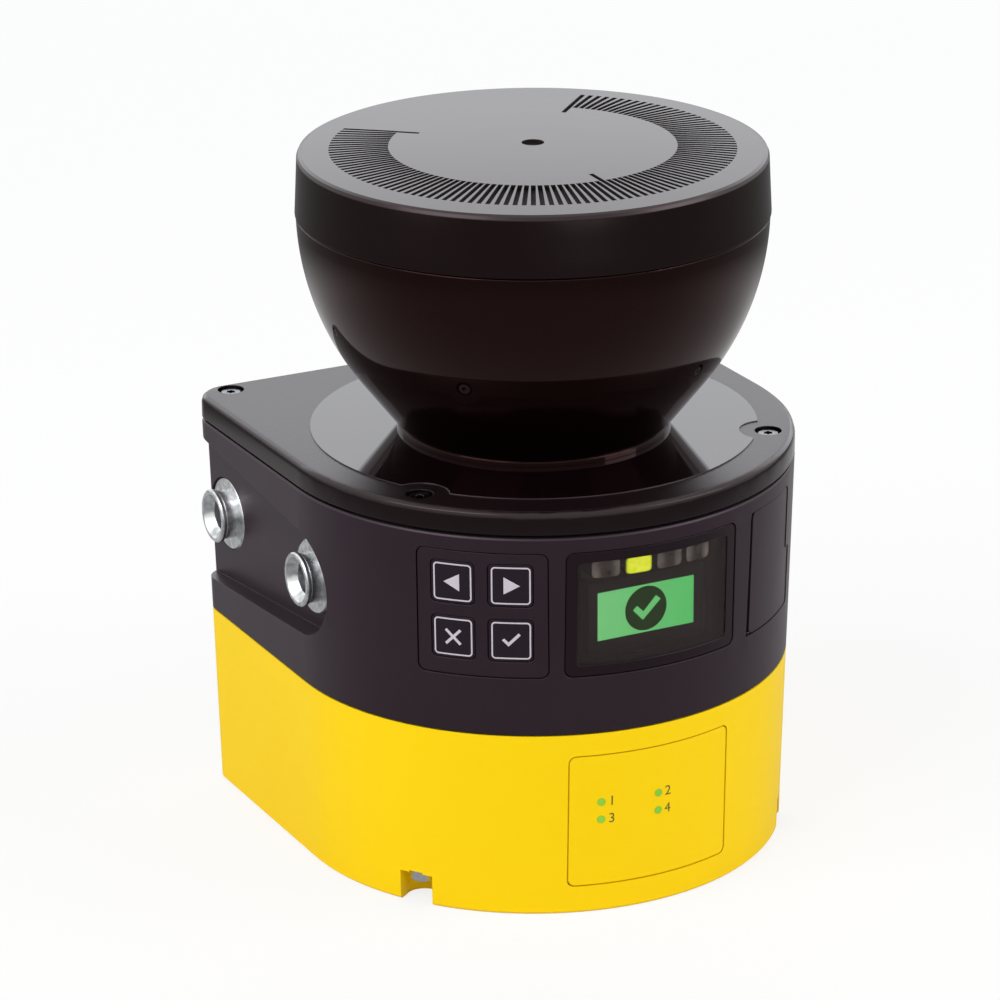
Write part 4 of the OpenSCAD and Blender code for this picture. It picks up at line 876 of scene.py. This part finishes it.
# %% World
world = bpy.data.worlds.new("studio")
bpy.context.scene.world = world
world.use_nodes = True
tree = world.node_tree
path = add(tree, "ShaderNodeLightPath")
mirrored = node_math(tree, "MAXIMUM", path.outputs["Is Glossy Ray"],
                     path.outputs["Is Transmission Ray"])
seen = node_math(tree, "MAXIMUM", mirrored, path.outputs["Is Camera Ray"])
fill_level, white_level = 0.58, 1.0
background = tree.nodes["Background"]
tree.links.new(spread(tree, seen, fill_level, white_level), background.inputs["Strength"])
background.inputs["Color"].default_value = (1, 1, 1, 1)

# %% Floor
pale_floor = bpy.data.materials.new("pale_floor")
pale_floor.use_nodes = True
tree = pale_floor.node_tree
shader = tree.nodes["Principled BSDF"]
shader.inputs["Base Color"].default_value = (0.85, 0.85, 0.85, 1)
shader.inputs["Roughness"].default_value = 0.9
shader.inputs["Specular IOR Level"].default_value = 0.1
path = add(tree, "ShaderNodeLightPath")
white = add(tree, "ShaderNodeEmission", {"Color": (1, 1, 1, 1), "Strength": 1.0})
floor_white = 0.8
share = spread(tree, path.outputs["Is Camera Ray"], 0.0, floor_white)
both = add(tree, "ShaderNodeMixShader", {0: share, 1: shader.outputs[0], 2: white.outputs[0]})
tree.links.new(both.outputs[0], tree.nodes["Material Output"].inputs["Surface"])

floor_mesh = bpy.data.meshes.new("floor")
size = 6.0
floor_mesh.from_pydata([(-size, -size, 0), (size, -size, 0), (size, size, 0), (-size, size, 0)],
                       [], [(0, 1, 2, 3)])
floor_mesh.materials.append(pale_floor)
floor = bpy.data.objects.new("floor", floor_mesh)
bpy.context.scene.collection.objects.link(floor)
bpy.context.scene.view_settings.view_transform = "Standard"

# %% [markdown]
# ## The lamps
# Each lamp is a soft box: a large rectangle that looks at the object. The larger it is
# and the nearer it stands, the softer are its shadows and the broader its reflection.

# %% Lamps


def soft_lamp(name, azimuth, elevation, away, width, height, power):
    """Area lamp on a sphere round the object, at two angles in degrees, from the front
    towards +X and above the floor. It looks at the middle of the object. Its place is the
    direction (sin a cos e, -cos a cos e, sin e) times the distance away."""
    turn, lift = math.radians(azimuth), math.radians(elevation)
    back = Vector((math.sin(turn) * math.cos(lift), -math.cos(turn) * math.cos(lift),
                   math.sin(lift)))
    lamp = bpy.data.lights.new(name, "AREA")
    lamp.shape, lamp.size, lamp.size_y, lamp.energy = "RECTANGLE", width, height, power
    holder = bpy.data.objects.new(name, lamp)
    bpy.context.scene.collection.objects.link(holder)
    holder.location = look_at + back * away
    holder.rotation_mode = "QUATERNION"
    holder.rotation_quaternion = (-back).to_track_quat("-Z", "Y")
    return holder


soft_lamp("key_lamp", -75, 45, 1.3, 0.9, 0.9, 8.6)
soft_lamp("fill_lamp", 50, 35, 1.4, 0.8, 0.8, 6.8)
soft_lamp("back_lamp", 152, 26, 1.6, 2.2, 0.9, 7.5).data.color = (0.86, 0.94, 1.0)

# %% [markdown]
# ## A grey card
# Polished black plastic is as bright as what it mirrors, and upright walls seen from
# above mirror the floor. So a studio lays a grey card round a black object. Here the
# card is seen in reflections only and gives no light and no shadow. It is darkest in
# front and far away, so that the round walls go softly from dark to light.

# %% Grey card
grey_card = bpy.data.materials.new("grey_card")
grey_card.use_nodes = True
tree = grey_card.node_tree
card_reach, card_height = 0.8, 0.5 * MM
tone_behind, tone_in_front, tone_far = 0.65, 0.24, 0.16
place = add(tree, "ShaderNodeTexCoord")
forward = Vector((towards_camera.x, towards_camera.y, 0)).normalized()
along = add(tree, "ShaderNodeVectorMath", {0: place.outputs["Object"], 1: forward},
            operation="DOT_PRODUCT")
near_tone = add(tree, "ShaderNodeMapRange", {
    "Value": along.outputs["Value"], "From Min": -0.3, "From Max": 0.2,
    "To Min": tone_behind, "To Max": tone_in_front}, interpolation_type="SMOOTHSTEP")
away = add(tree, "ShaderNodeVectorMath", {0: place.outputs["Object"]}, operation="LENGTH")
nearness = add(tree, "ShaderNodeMapRange", {
    "Value": away.outputs["Value"], "From Min": 0.26, "From Max": 0.42,
    "To Min": 1.0, "To Max": 0.0}, interpolation_type="SMOOTHSTEP")
tone = add(tree, "ShaderNodeMix", {0: nearness.outputs["Result"], 2: tone_far,
                                   3: near_tone.outputs["Result"]}, data_type="FLOAT")
card_tone = add(tree, "ShaderNodeEmission", {"Color": (1, 1, 1, 1), "Strength": tone.outputs[0]})
tree.links.new(card_tone.outputs[0], tree.nodes["Material Output"].inputs["Surface"])
card_mesh = bpy.data.meshes.new("card")
card_mesh.from_pydata([(x * card_reach, y * card_reach, card_height)
                       for x, y in ((-1, -1), (1, -1), (1, 1), (-1, 1))], [], [(0, 1, 2, 3)])
card_mesh.materials.append(grey_card)
card = bpy.data.objects.new("card", card_mesh)
bpy.context.scene.collection.objects.link(card)
card.visible_camera = card.visible_diffuse = card.visible_shadow = False
card.visible_transmission = False
print("card of", 2 * card_reach, "m for the reflections")
